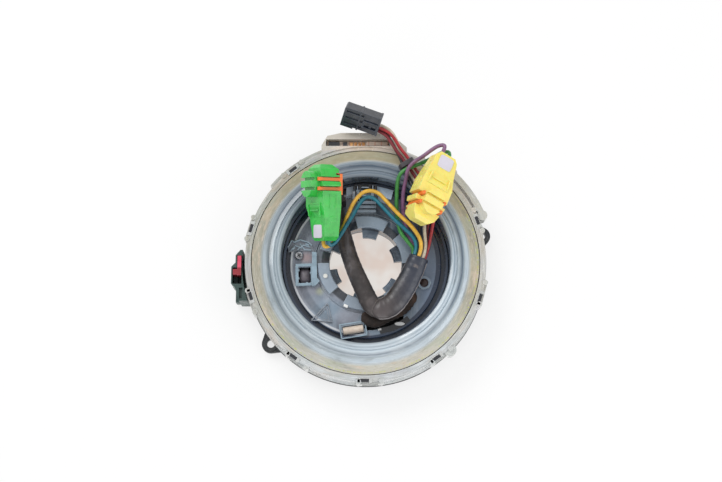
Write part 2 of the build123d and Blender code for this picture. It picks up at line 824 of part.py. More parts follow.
sleeve_route = [
    (-16.6, 29.4, 23.7), (-10.6, 14.2, 23.7), (-5.6, -0.6, 23.8), (0.9, -15.6, 23.7),
    (5.6, -24.6, 23.8), (14.0, -24.2, 23.9), (20.6, -14.4, 24.0), (25.4, -5.4, 24.2),
    (28.2, 1.6, 24.6),
]
wire_routes = {
    "yellow_wire": (wire_r, [
        (28.2, 1.5, 28.0), (29.7, 5.2, 28.4), (29.2, 10.7, 29.4), (24.5, 17.5, 30.2),
        (17.5, 24.0, 30.0), (11.5, 31.0, 29.2), (6.5, 37.0, 28.2), (-0.5, 37.8, 27.8),
        (-6.0, 32.0, 28.8), (-10.0, 23.5, 30.4), (-12.6, 15.5, 31.0), (-15.8, 8.8, 31.2),
        (-19.2, 4.8, 32.2), (-22.3, 4.2, 33.2), (-22.3, 8.52, 34.1),
    ]),
    "teal_wire": (wire_r, [
        (26.0, 2.5, 27.0), (27.3, 5.8, 27.2), (26.3, 11.2, 27.6), (21.6, 16.0, 27.9),
        (15.2, 21.8, 27.8), (9.3, 28.6, 27.2), (4.6, 34.0, 26.4), (0.0, 34.8, 26.2),
        (-3.4, 30.4, 27.6), (-6.8, 22.4, 30.4), (-10.2, 15.2, 33.6), (-13.2, 9.2, 35.0),
        (-16.0, 4.6, 36.2), (-19.8, 3.0, 37.2), (-19.8, 7.62, 38.1),
    ]),
    "green_wire": (wire_r, [
        (25.1, 3.0, 24.6), (26.1, 5.6, 24.7), (23.0, 9.6, 25.2), (18.8, 14.5, 25.3),
        (17.2, 21.0, 25.4), (16.6, 28.5, 26.6), (16.7, 36.0, 29.6), (17.1, 42.6, 32.4),
        (19.4, 47.0, 33.8), (25.6, 49.4, 34.6), (31.5, 52.4, 34.2), (37.0, 56.4, 33.4),
        (41.2, 60.4, 34.6), (46.6, 59.2, 36.8), (44.2, 52.3, 37.7),
    ]),
    "purple_wire": (wire_r, [
        (26.1, 2.8, 22.2), (27.2, 5.6, 22.4), (25.2, 10.6, 22.6), (22.0, 16.4, 22.8),
        (20.6, 22.6, 23.6), (19.9, 29.4, 26.4), (20.2, 36.5, 30.2), (21.6, 42.6, 33.4),
        (22.4, 47.6, 36.6), (25.4, 51.6, 37.2), (31.5, 54.8, 37.2), (36.0, 57.6, 38.2),
        (39.4, 61.4, 39.0), (43.2, 60.2, 39.2), (40.2, 54.2, 39.6),
    ]),
    "red_wire": (red_wire_r, [
        (31.4, 0.4, 24.6), (33.4, 5.5, 24.9), (35.4, 15.4, 26.2), (36.8, 23.6, 29.4),
        (35.5, 30.3, 31.6), (31.5, 41.4, 31.2), (26.6, 49.0, 31.5), (22.8, 55.0, 31.6),
        (18.4, 60.6, 31.6), (15.4, 66.0, 32.0), (11.9, 69.7, 32.0), (7.4, 71.5, 32.3),
    ]),
    "dark_red_wire": (red_wire_r, [
        (30.5, 0.9, 22.2), (32.5, 6.0, 22.5), (33.0, 15.6, 24.2), (34.5, 24.4, 28.4),
        (33.3, 31.9, 31.8), (29.3, 40.2, 32.1), (24.6, 47.4, 31.7), (20.7, 53.5, 31.6),
        (16.2, 59.4, 31.4), (13.2, 64.6, 31.2), (10.6, 68.4, 30.9), (6.76, 70.1, 30.8),
    ]),
    "cream_wire": (wire_r - 0.1, [
        (30.4, 0.7, 27.0), (32.4, 5.8, 27.3), (31.2, 16.4, 26.6), (32.2, 25.3, 28.8),
        (30.9, 32.7, 31.5), (27.1, 40.2, 31.0), (23.2, 49.0, 29.2), (21.6, 55.8, 29.3),
        (18.6, 61.2, 29.3), (15.8, 67.4, 29.6), (12.6, 71.8, 29.8), (8.0, 73.6, 30.1),
    ]),
    "black_wire": (wire_r - 0.1, [
        (28.3, 1.9, 21.2), (30.3, 7.0, 21.5), (28.8, 16.5, 24.2), (29.8, 25.5, 28.2),
        (27.7, 35.0, 31.5), (24.0, 41.2, 31.1), (20.8, 48.2, 29.4), (19.4, 54.2, 29.3),
        (16.4, 60.0, 29.1), (13.6, 65.6, 28.7), (11.2, 70.2, 28.6), (7.3, 72.0, 28.8),
    ]),
}
sleeve = cord_tube("sleeve", sleeve_route, sleeve_r)
wires = {name: cord_tube(name, points, radius)
         for name, (radius, points) in wire_routes.items()}

# gland that the sleeve comes out of, square on to the sleeve's first run
gland_length = 8.4
gland_width = 13.0
gland_wall = 1.2
sleeve_start = Vector(*sleeve_route[0])
sleeve_heading = (Vector(*sleeve_route[1]) - sleeve_start).normalized()
gland_back = Vector(-sleeve_heading.X, -sleeve_heading.Y, 0).normalized()
gland_plane = Plane(
    origin=(sleeve_start.X, sleeve_start.Y, hub_plate_top),
    x_dir=(gland_back.Y, -gland_back.X, 0),
    z_dir=gland_back,
)
gland_top = sleeve_start.Z + sleeve_r + gland_wall - hub_plate_top
with BuildPart() as cable_gland:
    with BuildSketch(gland_plane) as gland_face:
        with Locations((0, -gland_top / 2)):
            RectangleRounded(gland_width, gland_top, 1.6)
    extrude(amount=gland_length)

# cable tie round the four plug wires
tie_centre = (22.1, 51.7, 30.5)
tie_heading = math.degrees(math.atan2(-6.2, 3.9))
tie_inner = (7.0, 5.2)
tie_plane = Plane(
    origin=tie_centre,
    x_dir=(math.cos(math.radians(tie_heading + 90)), math.sin(math.radians(tie_heading + 90)), 0),
    z_dir=(math.cos(math.radians(tie_heading)), math.sin(math.radians(tie_heading)), 0),
)
with BuildPart() as cable_tie:
    with BuildSketch(tie_plane) as tie_band:
        RectangleRounded(tie_inner[0] + 2 * tie_thickness, tie_inner[1] + 2 * tie_thickness, 2.2)
        RectangleRounded(*tie_inner, 1.4, mode=Mode.SUBTRACT)
    extrude(amount=tie_width / 2, both=True)

save(base_housing.part, "base_housing")
save(cover_ring.part, "cover_ring")
save(stator_terminal.part, "stator_terminal")
save(lock_housing.part, "lock_housing")
save(lock_slider.part, "lock_slider")
save(rotor_shell.part, "rotor_shell")
save(hub_plate.part, "hub_plate")
save(drive_ring.part, "drive_ring")
save(flat_cable.part, "flat_cable")
save(clip_pin.part, "clip_pin")
save(hub_screw.part, "hub_screw")
save(ring_pin.part, "ring_pin")
save(cable_gland.part, "cable_gland")
save(green_plug, "green_plug")
save(green_clip, "green_clip")
save(yellow_plug, "yellow_plug")
save(yellow_clip, "yellow_clip")
save(black_plug.part, "black_plug")
save(cable_tie.part, "cable_tie")
save(sleeve, "sleeve")
for name, wire in wires.items():
    save(wire, name)
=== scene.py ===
"""Looks of the steering clock spring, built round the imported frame."""
import math
import random

import bmesh
import bpy
from mathutils import Matrix, Vector


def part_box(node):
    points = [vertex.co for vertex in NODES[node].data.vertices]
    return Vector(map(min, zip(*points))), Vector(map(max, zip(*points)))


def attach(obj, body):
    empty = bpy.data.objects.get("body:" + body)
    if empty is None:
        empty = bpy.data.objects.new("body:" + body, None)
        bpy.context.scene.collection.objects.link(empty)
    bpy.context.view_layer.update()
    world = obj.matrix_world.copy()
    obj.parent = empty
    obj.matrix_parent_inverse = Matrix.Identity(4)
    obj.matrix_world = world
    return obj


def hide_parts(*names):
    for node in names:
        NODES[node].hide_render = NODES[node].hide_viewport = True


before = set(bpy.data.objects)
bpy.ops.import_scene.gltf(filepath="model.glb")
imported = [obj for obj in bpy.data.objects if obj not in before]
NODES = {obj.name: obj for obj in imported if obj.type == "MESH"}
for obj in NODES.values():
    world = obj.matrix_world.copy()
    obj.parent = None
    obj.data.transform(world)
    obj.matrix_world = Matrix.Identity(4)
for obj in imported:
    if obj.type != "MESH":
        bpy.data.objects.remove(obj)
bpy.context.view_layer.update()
MM = 0.001
random.seed(7)


# ------------------------------------------------------------------ colours and materials
def lin(r, g, b):
    """A colour written in 0-255 display values, as linear values."""
    out = []
    for v in (r, g, b):
        v /= 255
        out.append(v / 12.92 if v <= 0.04045 else ((v + 0.055) / 1.055) ** 2.4)
    return (*out, 1.0)


class Shader:
    """A Principled material with short ways to add its nodes."""

    def __init__(self, name, base, rough=0.4, **inputs):
        self.mat = bpy.data.materials.new(name)
        self.mat.use_nodes = True
        self.tree = self.mat.node_tree
        self.bsdf = self.tree.nodes["Principled BSDF"]
        self.bsdf.inputs["Base Color"].default_value = base
        self.bsdf.inputs["Roughness"].default_value = rough
        self.mat.diffuse_color = base
        for key, value in inputs.items():
            self.bsdf.inputs[key.replace("_", " ")].default_value = value
        self.coord = self.node("ShaderNodeTexCoord").outputs["Object"]

    def node(self, kind, **props):
        n = self.tree.nodes.new(kind)
        for key, value in props.items():
            setattr(n, key, value)
        return n

    def link(self, a, b):
        self.tree.links.new(a, b)

    def math(self, op, a, b=None, clamp=False):
        n = self.node("ShaderNodeMath", operation=op, use_clamp=clamp)
        for i, v in enumerate((a, b)):
            if v is None:
                continue
            if isinstance(v, (int, float)):
                n.inputs[i].default_value = v
            else:
                self.link(v, n.inputs[i])
        return n.outputs[0]

    def times(self, first, *others):
        """The product of masks and amounts."""
        for v in others:
            first = self.math("MULTIPLY", first, v)
        return first

    def noise(self, scale, detail=3.0, rough=0.5, coord=None, distortion=0.0):
        n = self.node("ShaderNodeTexNoise")
        n.inputs["Scale"].default_value = scale
        n.inputs["Detail"].default_value = detail
        n.inputs["Roughness"].default_value = rough
        n.inputs["Distortion"].default_value = distortion
        self.link(coord or self.coord, n.inputs["Vector"])
        return n.outputs["Fac"]

    def wave(self, direction, scale):
        n = self.node("ShaderNodeTexWave", wave_type="BANDS", bands_direction=direction)
        n.inputs["Scale"].default_value = scale
        self.link(self.coord, n.inputs["Vector"])
        return n.outputs["Fac"]

    def stretch(self, x, y, z):
        n = self.node("ShaderNodeMapping")
        n.inputs["Scale"].default_value = (x, y, z)
        self.link(self.coord, n.inputs["Vector"])
        return n.outputs[0]

    def ramp(self, fac, stops):
        n = self.node("ShaderNodeValToRGB")
        r = n.color_ramp
        while len(r.elements) < len(stops):
            r.elements.new(0.5)
        for e, (p, c) in zip(r.elements, stops):
            e.position = p
            e.color = c if len(c) == 4 else (*c, 1.0)
        self.link(fac, n.inputs[0])
        return n.outputs[0]

    def band(self, fac, lo, hi):
        """0 to 1 as fac goes from lo to hi."""
        n = self.node("ShaderNodeMapRange")
        n.inputs["From Min"].default_value = lo
        n.inputs["From Max"].default_value = hi
        self.link(fac, n.inputs["Value"])
        return n.outputs[0]

    def mix(self, fac, a, b):
        n = self.node("ShaderNodeMix", data_type="RGBA")
        for i, v in ((0, fac), (6, a), (7, b)):
            if isinstance(v, (int, float, tuple)):
                n.inputs[i].default_value = v
            else:
                self.link(v, n.inputs[i])
        return n.outputs[2]

    def tint(self, tone, mask, amount, colour):
        """tone, with a share of another colour where the mask is 1."""
        return self.mix(self.times(mask, amount), tone, colour)

    def radius(self):
        """Distance from the turning axis, in millimetres; x, y and z stay in metres."""
        s = self.node("ShaderNodeSeparateXYZ")
        self.link(self.coord, s.inputs[0])
        self.x, self.y, self.z = s.outputs
        r2 = self.math("ADD", self.times(self.x, self.x), self.times(self.y, self.y))
        return self.times(self.math("SQRT", r2), 1000.0)

    def around(self, r, turns, steps):
        """Texture coordinates that follow the turning direction with no seam."""
        v = self.node("ShaderNodeCombineXYZ")
        metres = self.times(r, 0.001)
        self.link(self.times(self.math("DIVIDE", self.x, metres), turns), v.inputs[0])
        self.link(self.times(self.math("DIVIDE", self.y, metres), turns), v.inputs[1])
        self.link(self.times(r, steps), v.inputs[2])
        return v.outputs[0]

    def near(self, x, y, full, none):
        """1 close to a point on the plan (mm), 0 further off."""
        v = self.node("ShaderNodeCombineXYZ")
        self.link(self.x, v.inputs[0])
        self.link(self.y, v.inputs[1])
        d = self.node("ShaderNodeVectorMath", operation="DISTANCE")
        self.link(v.outputs[0], d.inputs[0])
        d.inputs[1].default_value = (x * 0.001, y * 0.001, 0.0)
        return self.band(d.outputs["Value"], none * 0.001, full * 0.001)

    def colour(self, socket):
        self.link(socket, self.bsdf.inputs["Base Color"])

    def roughness(self, lo, hi, scale, detail=4.0):
        n = self.noise(scale, detail)
        m = self.node("ShaderNodeMapRange")
        m.inputs["From Min"].default_value = 0.3
        m.inputs["From Max"].default_value = 0.7
        m.inputs["To Min"].default_value = lo
        m.inputs["To Max"].default_value = hi
        self.link(n, m.inputs["Value"])
        self.link(m.outputs[0], self.bsdf.inputs["Roughness"])

    def bump(self, height, strength=0.2, distance=0.0002, soft=0.0):
        n = self.node("ShaderNodeBump")
        n.inputs["Strength"].default_value = strength
        n.inputs["Distance"].default_value = distance
        self.link(height, n.inputs["Height"])
        if soft:
            b = self.node("ShaderNodeBevel", samples=6)
            b.inputs["Radius"].default_value = soft
            self.link(b.outputs[0], n.inputs["Normal"])
        self.link(n.outputs[0], self.bsdf.inputs["Normal"])

    def edges(self, radius=0.0004):
        """1 at convex edges, where painted highlights go."""
        b = self.node("ShaderNodeBevel", samples=4)
        b.inputs["Radius"].default_value = radius
        g = self.node("ShaderNodeNewGeometry")
        d = self.node("ShaderNodeVectorMath", operation="DOT_PRODUCT")
        self.link(b.outputs[0], d.inputs[0])
        self.link(g.outputs["Normal"], d.inputs[1])
        return self.band(d.outputs["Value"], 0.99, 0.80)


def plastic(name, base, rough=0.38, spread=0.10, dirt=None, edge_highlight=None, soft=0.00035, **kw):
    """Moulded plastic: slight colour change, fine grain, dust in patches and painted highlights on
    the edges.
    """
    s = Shader(name, base, rough, **kw)
    dark = tuple(c * (1 - spread) for c in base[:3]) + (1.0,)
    light = tuple(min(1.0, c * (1 + spread)) for c in base[:3]) + (1.0,)
    tone = s.ramp(s.noise(90, 4, 0.6), [(0.30, dark), (0.72, light)])
    if dirt:
        patch = s.ramp(s.noise(260, 6, 0.65), [(0.50, (0, 0, 0)), (0.74, (0.45, 0.45, 0.45))])
        tone = s.mix(patch, tone, dirt)
    # painted highlight along the convex edges
    if edge_highlight:
        tone = s.tint(tone, s.edges(), 0.55, edge_highlight)
    s.colour(tone)
    s.roughness(rough * 0.8, min(0.9, rough * 1.35), 400)
    s.bump(s.noise(2200, 2), 0.12, 0.0001, soft)
    return s


def ring_material():
    """Clear ring: aged clear plastic with the cassette showing milky through it."""
    s = Shader("clear_ring_plastic", lin(205, 208, 194), 0.2, Transmission_Weight=0.22, IOR=1.49,
               Coat_Weight=0.3, Coat_Roughness=0.06)
    r = s.radius()
    milk = s.noise(2.4, 5, 0.62, s.around(r, 3.0, 0.5))
    base = s.ramp(milk, [(0.26, lin(152, 154, 146)), (0.42, lin(190, 190, 182)),
                         (0.54, lin(222, 222, 219)), (0.68, lin(252, 252, 252))])
    # painted light: darker at the left, paler and bluish at the front, where the light falls
    side = s.mix(s.band(s.x, -0.03, 0.03), lin(170, 174, 162), lin(218, 218, 210))
    side = s.mix(s.band(s.y, -0.020, -0.046), side, lin(222, 233, 240))
    base = s.mix(0.48, base, side)
    base = s.tint(base, s.band(s.y, 0.0595, 0.0625), 0.75, lin(255, 236, 222))
    # peach and lavender casts in long patches
    cast = s.noise(1.3, 4, 0.6, s.around(r, 2.0, 0.2))
    base = s.tint(base, s.band(cast, 0.53, 0.62), 0.34, lin(226, 206, 186))
    base = s.tint(base, s.band(cast, 0.46, 0.36), 0.35, lin(206, 206, 220))
    # old grease and rust-brown haze, more of it towards the cable box
    north = s.band(s.y, -0.01, 0.07)
    stain = s.times(s.band(s.noise(75, 4, 0.6), 0.46, 0.70),
                    s.math("ADD", 0.25, s.times(north, 0.45)))
    base = s.mix(stain, base, lin(196, 176, 146))
    scuff = s.band(s.noise(900, 5, 0.75, s.stretch(1, 1, 0.35)), 0.62, 0.74)
    base = s.tint(base, scuff, 0.5, lin(120, 122, 118))
    rim = s.band(r, 64.9, 65.5)
    base = s.tint(base, rim, 0.5, lin(206, 208, 202))
    # painted highlight along the convex edges
    base = s.tint(base, s.edges(0.0005), 0.6, lin(244, 246, 244))
    s.colour(base)
    s.roughness(0.12, 0.32, 220)
    s.bump(s.noise(700, 4), 0.10, 0.0002)
    return s


def shell_material():
    """Rotor shell: tan flat band, then the clear funnel in blue-grey rings of painted shade and
    painted light.
    """
    s = Shader("rotor_shell_plastic", lin(190, 176, 145), 0.16, Coat_Weight=0.5,
               Coat_Roughness=0.05)
    r = s.radius()
    wavy = s.math("ADD", r, s.times(s.math("SUBTRACT", s.noise(30, 3), 0.5), 0.7))
    inner, width = 44.0, 18.0
    across = s.math("DIVIDE", s.math("SUBTRACT", wavy, inner), width)

    def at(mm):
        return (mm - inner) / width

    # painted shade in the funnel's grooves and painted light on its crowns, at the steps of the
    # part's own section, then tan on the flat band
    groove_shade, mid, crown_light = lin(76, 92, 108), lin(132, 150, 164), lin(190, 204, 214)
    tan = lin(184, 176, 154)
    rings = s.ramp(across, [
        (at(44.8), groove_shade), (at(46.4), crown_light), (at(47.2), mid), (at(48.1), crown_light),
        (at(49.6), crown_light), (at(51.4), groove_shade), (at(52.2), mid), (at(53.2), crown_light),
        (at(54.9), crown_light), (at(56.6), tan)])
    # painted light at the front, where the light falls, and painted shade on the lock's side
    rings = s.tint(rings, s.band(s.y, -0.016, -0.044), 0.22, lin(232, 240, 246))
    rings = s.tint(rings, s.band(s.x, 0.004, -0.040), 0.30, lin(126, 134, 132))
    # milky patches and grey-green sweeps drawn out along the turning direction
    sweeps = s.noise(1.5, 5, 0.6, s.around(r, 1.1, 0.10), 0.4)
    tone = s.tint(rings, s.band(sweeps, 0.52, 0.66), 0.32, lin(214, 220, 222))
    tone = s.tint(tone, s.band(sweeps, 0.46, 0.33), 0.40, lin(104, 112, 112))
    hair = s.noise(2.0, 6, 0.72, s.around(r, 1.6, 1.5))
    tone = s.tint(tone, s.band(hair, 0.56, 0.72), 0.42, lin(236, 240, 242))
    tone = s.tint(tone, s.band(hair, 0.44, 0.30), 0.45, lin(70, 80, 92))
    # the flat band is blotched: peach, pale green-grey and clear patches
    blot = s.noise(1.7, 4, 0.6, s.around(r, 2.2, 0.12))
    flat = s.band(r, 55.6, 56.6)
    tone = s.tint(tone, s.times(flat, s.band(blot, 0.55, 0.62)), 0.45, lin(216, 194, 172))
    tone = s.tint(tone, s.times(flat, s.band(blot, 0.46, 0.36)), 0.60, lin(176, 182, 164))
    speck = s.noise(3.2, 5, 0.7, s.around(r, 5.0, 0.5))
    tone = s.tint(tone, s.times(flat, s.band(speck, 0.55, 0.66)), 0.50, lin(228, 218, 206))
    tone = s.tint(tone, s.times(flat, s.band(speck, 0.44, 0.34)), 0.45, lin(146, 140, 114))
    # thin dotted yellow-green line of old grease
    dots = s.band(s.noise(7.0, 3, 0.6, s.around(r, 9.0, 0.0)), 0.48, 0.58)
    thin = s.times(s.band(r, 59.5, 59.8), s.band(r, 60.5, 60.2))
    side = s.math("ADD", s.band(s.x, 0.020, 0.040), s.band(s.y, -0.015, -0.035), clamp=True)
    thin = s.times(thin, dots, side)
    tone = s.tint(tone, thin, 0.7, lin(192, 198, 92))
    # painted shade: towards the cable box the funnel is deeper blue-grey
    north = s.times(s.band(s.y, 0.008, 0.036), s.band(r, 55.5, 54.0))
    tone = s.tint(tone, north, 0.62, lin(70, 84, 102))
    olive = s.times(s.band(s.y, 0.020, 0.045), flat)
    tone = s.tint(tone, olive, 0.45, lin(166, 156, 116))
    s.colour(tone)
    s.roughness(0.08, 0.24, 160)
    s.bump(s.math("ADD", s.noise(500, 3), s.times(hair, 0.6)), 0.10, 0.0002, 0.0003)
    return s


def film_material():
    """Flat cable: clear film with copper tracks across its height."""
    s = Shader("flat_cable_film", lin(120, 132, 138), 0.25, Coat_Weight=0.3)
    s.colour(s.ramp(s.wave("Z", 130), [(0.35, lin(120, 132, 138)), (0.6, lin(168, 120, 84))]))
    return s


def hub_material():
    """Glossy black plastic with handling haze, painted blue-grey where the light catches it."""
    s = Shader("hub_gloss_black", lin(84, 94, 108), 0.18, Coat_Weight=0.6, Coat_Roughness=0.05)
    r = s.radius()
    # painted reflections of the light in patches, with handling haze
    haze_and_reflection = s.noise(52, 5, 0.6)
    tone = s.ramp(haze_and_reflection, [(0.28, lin(50, 62, 80)), (0.44, lin(88, 104, 122)),
                         (0.56, lin(124, 142, 160)), (0.72, lin(176, 190, 204))])
    # painted light towards the front left, painted shade under the plugs
    lit = s.band(s.math("ADD", s.times(s.x, -0.55), s.times(s.y, -0.83)), -0.030, 0.030)
    tone = s.tint(tone, s.math("SUBTRACT", 1.0, lit), 0.62, lin(34, 44, 58))
    lit_tone = s.mix(s.band(s.noise(34, 3), 0.44, 0.56), lin(176, 172, 180), lin(150, 170, 188))
    tone = s.tint(tone, lit, 0.46, lit_tone)
    # painted shade towards the cable box
    tone = s.tint(tone, s.band(s.y, 0.022, 0.030), 0.62, lin(24, 30, 42))
    # painted shade in a hollow along the left edge; painted reflections: blue at the right,
    # yellow between the pocket and the triangle, pink by the screw
    hollow_shade = s.times(s.band(r, 33.8, 35.0), s.band(r, 38.8, 37.8), s.band(s.x, -0.008, -0.022))
    tone = s.tint(tone, hollow_shade, 0.45, lin(56, 66, 80))
    east_reflection = s.times(s.band(s.x, 0.023, 0.033), s.band(s.y, 0.012, 0.002))
    tone = s.tint(tone, east_reflection, 0.55, lin(146, 166, 198))
    tone = s.tint(tone, s.near(-24.6, -15.2, 0.4, 3.0), 0.34, lin(206, 208, 130))
    tone = s.tint(tone, s.near(-31.8, 3.0, 1.2, 4.2), 0.50, lin(206, 170, 168))
    wipe = s.noise(24, 6, 0.7, s.stretch(5.0, 0.8, 1.0))
    tone = s.tint(tone, s.band(wipe, 0.55, 0.72), 0.40, lin(196, 204, 214))
    dust = s.ramp(s.noise(1100, 5, 0.7), [(0.58, (0, 0, 0)), (0.75, (0.5, 0.5, 0.5))])
    tone = s.mix(dust, tone, lin(170, 174, 180))
    # raised tops get painted light; low floors and the castellated ring's gaps stay dark, the gaps
    # in painted shade
    mm = s.times(s.z, 1000.0)
    tone = s.tint(tone, s.band(mm, 16.55, 16.85), 0.60, lin(158, 176, 192))
    gap_shade = s.times(s.band(r, 24.3, 23.5), s.band(mm, 16.6, 16.4))
    tone = s.tint(tone, gap_shade, 0.80, lin(22, 26, 34))
    # the step round the plate: a thin painted highlight, then the collar wall in painted shade
    rs = s.math("ADD", r, s.times(s.x, 35.0))
    rim = s.times(s.band(rs, 38.0, 38.5), s.band(rs, 39.5, 39.1))
    rim = s.times(rim, s.band(s.x, 0.004, -0.016))
    wall_shade = s.times(s.band(rs, 39.2, 39.7), s.band(r, 45.6, 44.8))
    # painted highlight along the convex edges
    tone = s.tint(tone, s.edges(0.0004), 0.80, lin(206, 220, 234))
    tone = s.tint(tone, wall_shade, 0.88, lin(22, 42, 72))
    tone = s.tint(tone, rim, 0.85, lin(226, 228, 232))
    s.colour(tone)
    s.roughness(0.10, 0.34, 300)
    s.bump(s.noise(260, 4), 0.12, 0.0003, 0.0003)
    return s


def tooth_material():
    s = Shader("drive_black_gloss", lin(80, 92, 108), 0.2, Coat_Weight=0.4, Coat_Roughness=0.08)
    # black gloss painted blue-grey where the light catches it, with a painted highlight along the
    # edges
    tone = s.ramp(s.noise(80, 4, 0.6), [(0.30, lin(60, 70, 84)), (0.55, lin(112, 128, 146)),
                                        (0.74, lin(156, 174, 192))])
    tone = s.tint(tone, s.edges(0.0004), 0.8, lin(200, 214, 226))
    s.colour(tone)
    s.roughness(0.14, 0.36, 320)
    s.bump(s.noise(600, 4), 0.10, 0.0002)
    return s


def terminal_material():
    """Brown-beige insulator with darker contact slots showing."""
    s = Shader("terminal_tan", lin(172, 148, 120), 0.34, Transmission_Weight=0.1)
    body = s.ramp(s.noise(120, 5, 0.6), [(0.30, lin(176, 152, 132)), (0.52, lin(210, 190, 174)),
                                         (0.74, lin(232, 216, 204))])
    pins = s.tint(body, s.band(s.wave("X", 90), 0.80, 0.96), 0.45, lin(196, 112, 64))
    s.colour(pins)
    s.roughness(0.26, 0.46, 300)
    s.bump(s.noise(900, 3), 0.10, 0.0001)
    return s


def slider_material():
    """Red slider: pink in the middle, with painted shade in dark red on its lower part."""
    s = Shader("slider_red", lin(222, 62, 92), 0.32, Coat_Weight=0.2)
    s.radius()
    tone = s.ramp(s.noise(160, 4, 0.6), [(0.30, lin(206, 46, 76)), (0.72, lin(240, 96, 124))])
    low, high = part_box("lock_slider")
    span = high[1] - low[1]
    # painted shade: dark red on the lower part
    tone = s.mix(s.band(s.y, low[1] + span * 0.42, low[1] + span * 0.36), tone, lin(150, 34, 44))
    # painted highlight along the convex edges
    tone = s.tint(tone, s.edges(0.0003), 0.6, lin(250, 150, 170))
    s.colour(tone)
    s.roughness(0.26, 0.44, 400)
    s.bump(s.noise(1500, 2), 0.10, 0.0001)
    return s


def screw_material():
    s = Shader("screw_steel", lin(186, 188, 192), 0.26, Metallic=1.0)
    s.colour(s.ramp(s.noise(400, 4, 0.6), [(0.34, lin(96, 94, 98)), (0.66, lin(206, 208, 212))]))
    s.roughness(0.16, 0.40, 900)
    s.bump(s.noise(2400, 2), 0.12, 0.0001)
    return s


MATS = {
    "cover_ring": ring_material(),
    "base_housing": plastic("housing_dark", lin(50, 53, 56), 0.36, 0.25, dirt=lin(92, 90, 84),
                            edge_highlight=lin(112, 116, 120)),
    "stator_terminal": terminal_material(),
    "lock_housing": plastic("lock_green_grey", lin(56, 78, 74), 0.36, 0.24, dirt=lin(34, 44, 44),
                            edge_highlight=lin(120, 146, 142)),
    "lock_slider": slider_material(),
    "rotor_shell": shell_material(),
    "hub_plate": hub_material(),
    "drive_ring": tooth_material(),
    "flat_cable": film_material(),
    "clip_pin": plastic("clip_tan", lin(226, 210, 194), 0.32, 0.12, dirt=lin(176, 150, 128)),
    "hub_screw": screw_material(),
    "ring_pin": plastic("pin_white", lin(226, 226, 222), 0.4, 0.05),
    "cable_gland": plastic("gland_black", lin(34, 26, 26), 0.5, 0.3, dirt=lin(60, 42, 36),
                           edge_highlight=lin(76, 66, 64)),
    "green_plug": plastic("plug_green", lin(58, 190, 76), 0.30, 0.14, dirt=lin(24, 132, 46),
                          edge_highlight=lin(130, 232, 140), Subsurface_Weight=0.15,
                          Subsurface_Scale=0.002, Coat_Weight=0.2),
    "green_clip": plastic("clip_orange", lin(250, 124, 46), 0.30, 0.10, edge_highlight=lin(255, 176, 120),
                          Subsurface_Weight=0.1, Subsurface_Scale=0.001),
    "yellow_plug": plastic("plug_yellow", lin(252, 233, 122), 0.30, 0.06, dirt=lin(244, 214, 82),
                           edge_highlight=lin(255, 246, 190), Subsurface_Weight=0.25,
                           Subsurface_Scale=0.002, Coat_Weight=0.2),
    "black_plug": plastic("plug_black", lin(24, 30, 42), 0.30, 0.30, dirt=lin(48, 54, 68),
                          edge_highlight=lin(112, 124, 142), Coat_Weight=0.15),
    "cable_tie": plastic("tie_grey", lin(66, 62, 66), 0.35, 0.2, edge_highlight=lin(150, 148, 152)),
}
MATS["yellow_clip"] = MATS["green_clip"]
for name, shader in MATS.items():
    NODES[name].data.materials.clear()
    NODES[name].data.materials.append(shader.mat)


# ------------------------------------------------------------------ cords
def nurbs(name, points, radius, mat):
    curve = bpy.data.curves.new(name, "CURVE")
    curve.dimensions = "3D"
    curve.bevel_depth = radius * MM
    curve.bevel_resolution = 5
    curve.resolution_u = 10
    curve.use_fill_caps = True
    spline = curve.splines.new("NURBS")
    spline.points.add(len(points) - 1)
    for p, q in zip(spline.points, points):
        p.co = (q[0] * MM, q[1] * MM, q[2] * MM, 1.0)
    spline.order_u = 3
    spline.use_endpoint_u = True
    o = bpy.data.objects.new(name, curve)
    bpy.context.scene.collection.objects.link(o)
    if mat:
        curve.materials.append(mat)
    return o


def centreline(points, steps=12):
    """Points read from the route's own spline."""
    o = nurbs("centreline_tmp", points, 0, None)
    o.data.resolution_u = steps
    o.data.bevel_depth = 0
    bpy.context.view_layer.update()
    dg = bpy.context.evaluated_depsgraph_get()
    m = bpy.data.meshes.new_from_object(o.evaluated_get(dg))
    out = [v.co.copy() for v in m.vertices]
    bpy.data.objects.remove(o)
    bpy.data.meshes.remove(m)
    return out


def wire_material(name, base):
    s = Shader(name, base, 0.32, Coat_Weight=0.15)
    dark = tuple(c * 0.75 for c in base[:3]) + (1.0,)
    light = tuple(min(1, c * 1.15 + 0.01) for c in base[:3]) + (1.0,)
    s.colour(s.ramp(s.noise(300, 4, 0.6), [(0.32, dark), (0.66, light)]))
    s.roughness(0.24, 0.46, 600)
    s.bump(s.noise(1500, 3), 0.12, 0.0001)
    return s


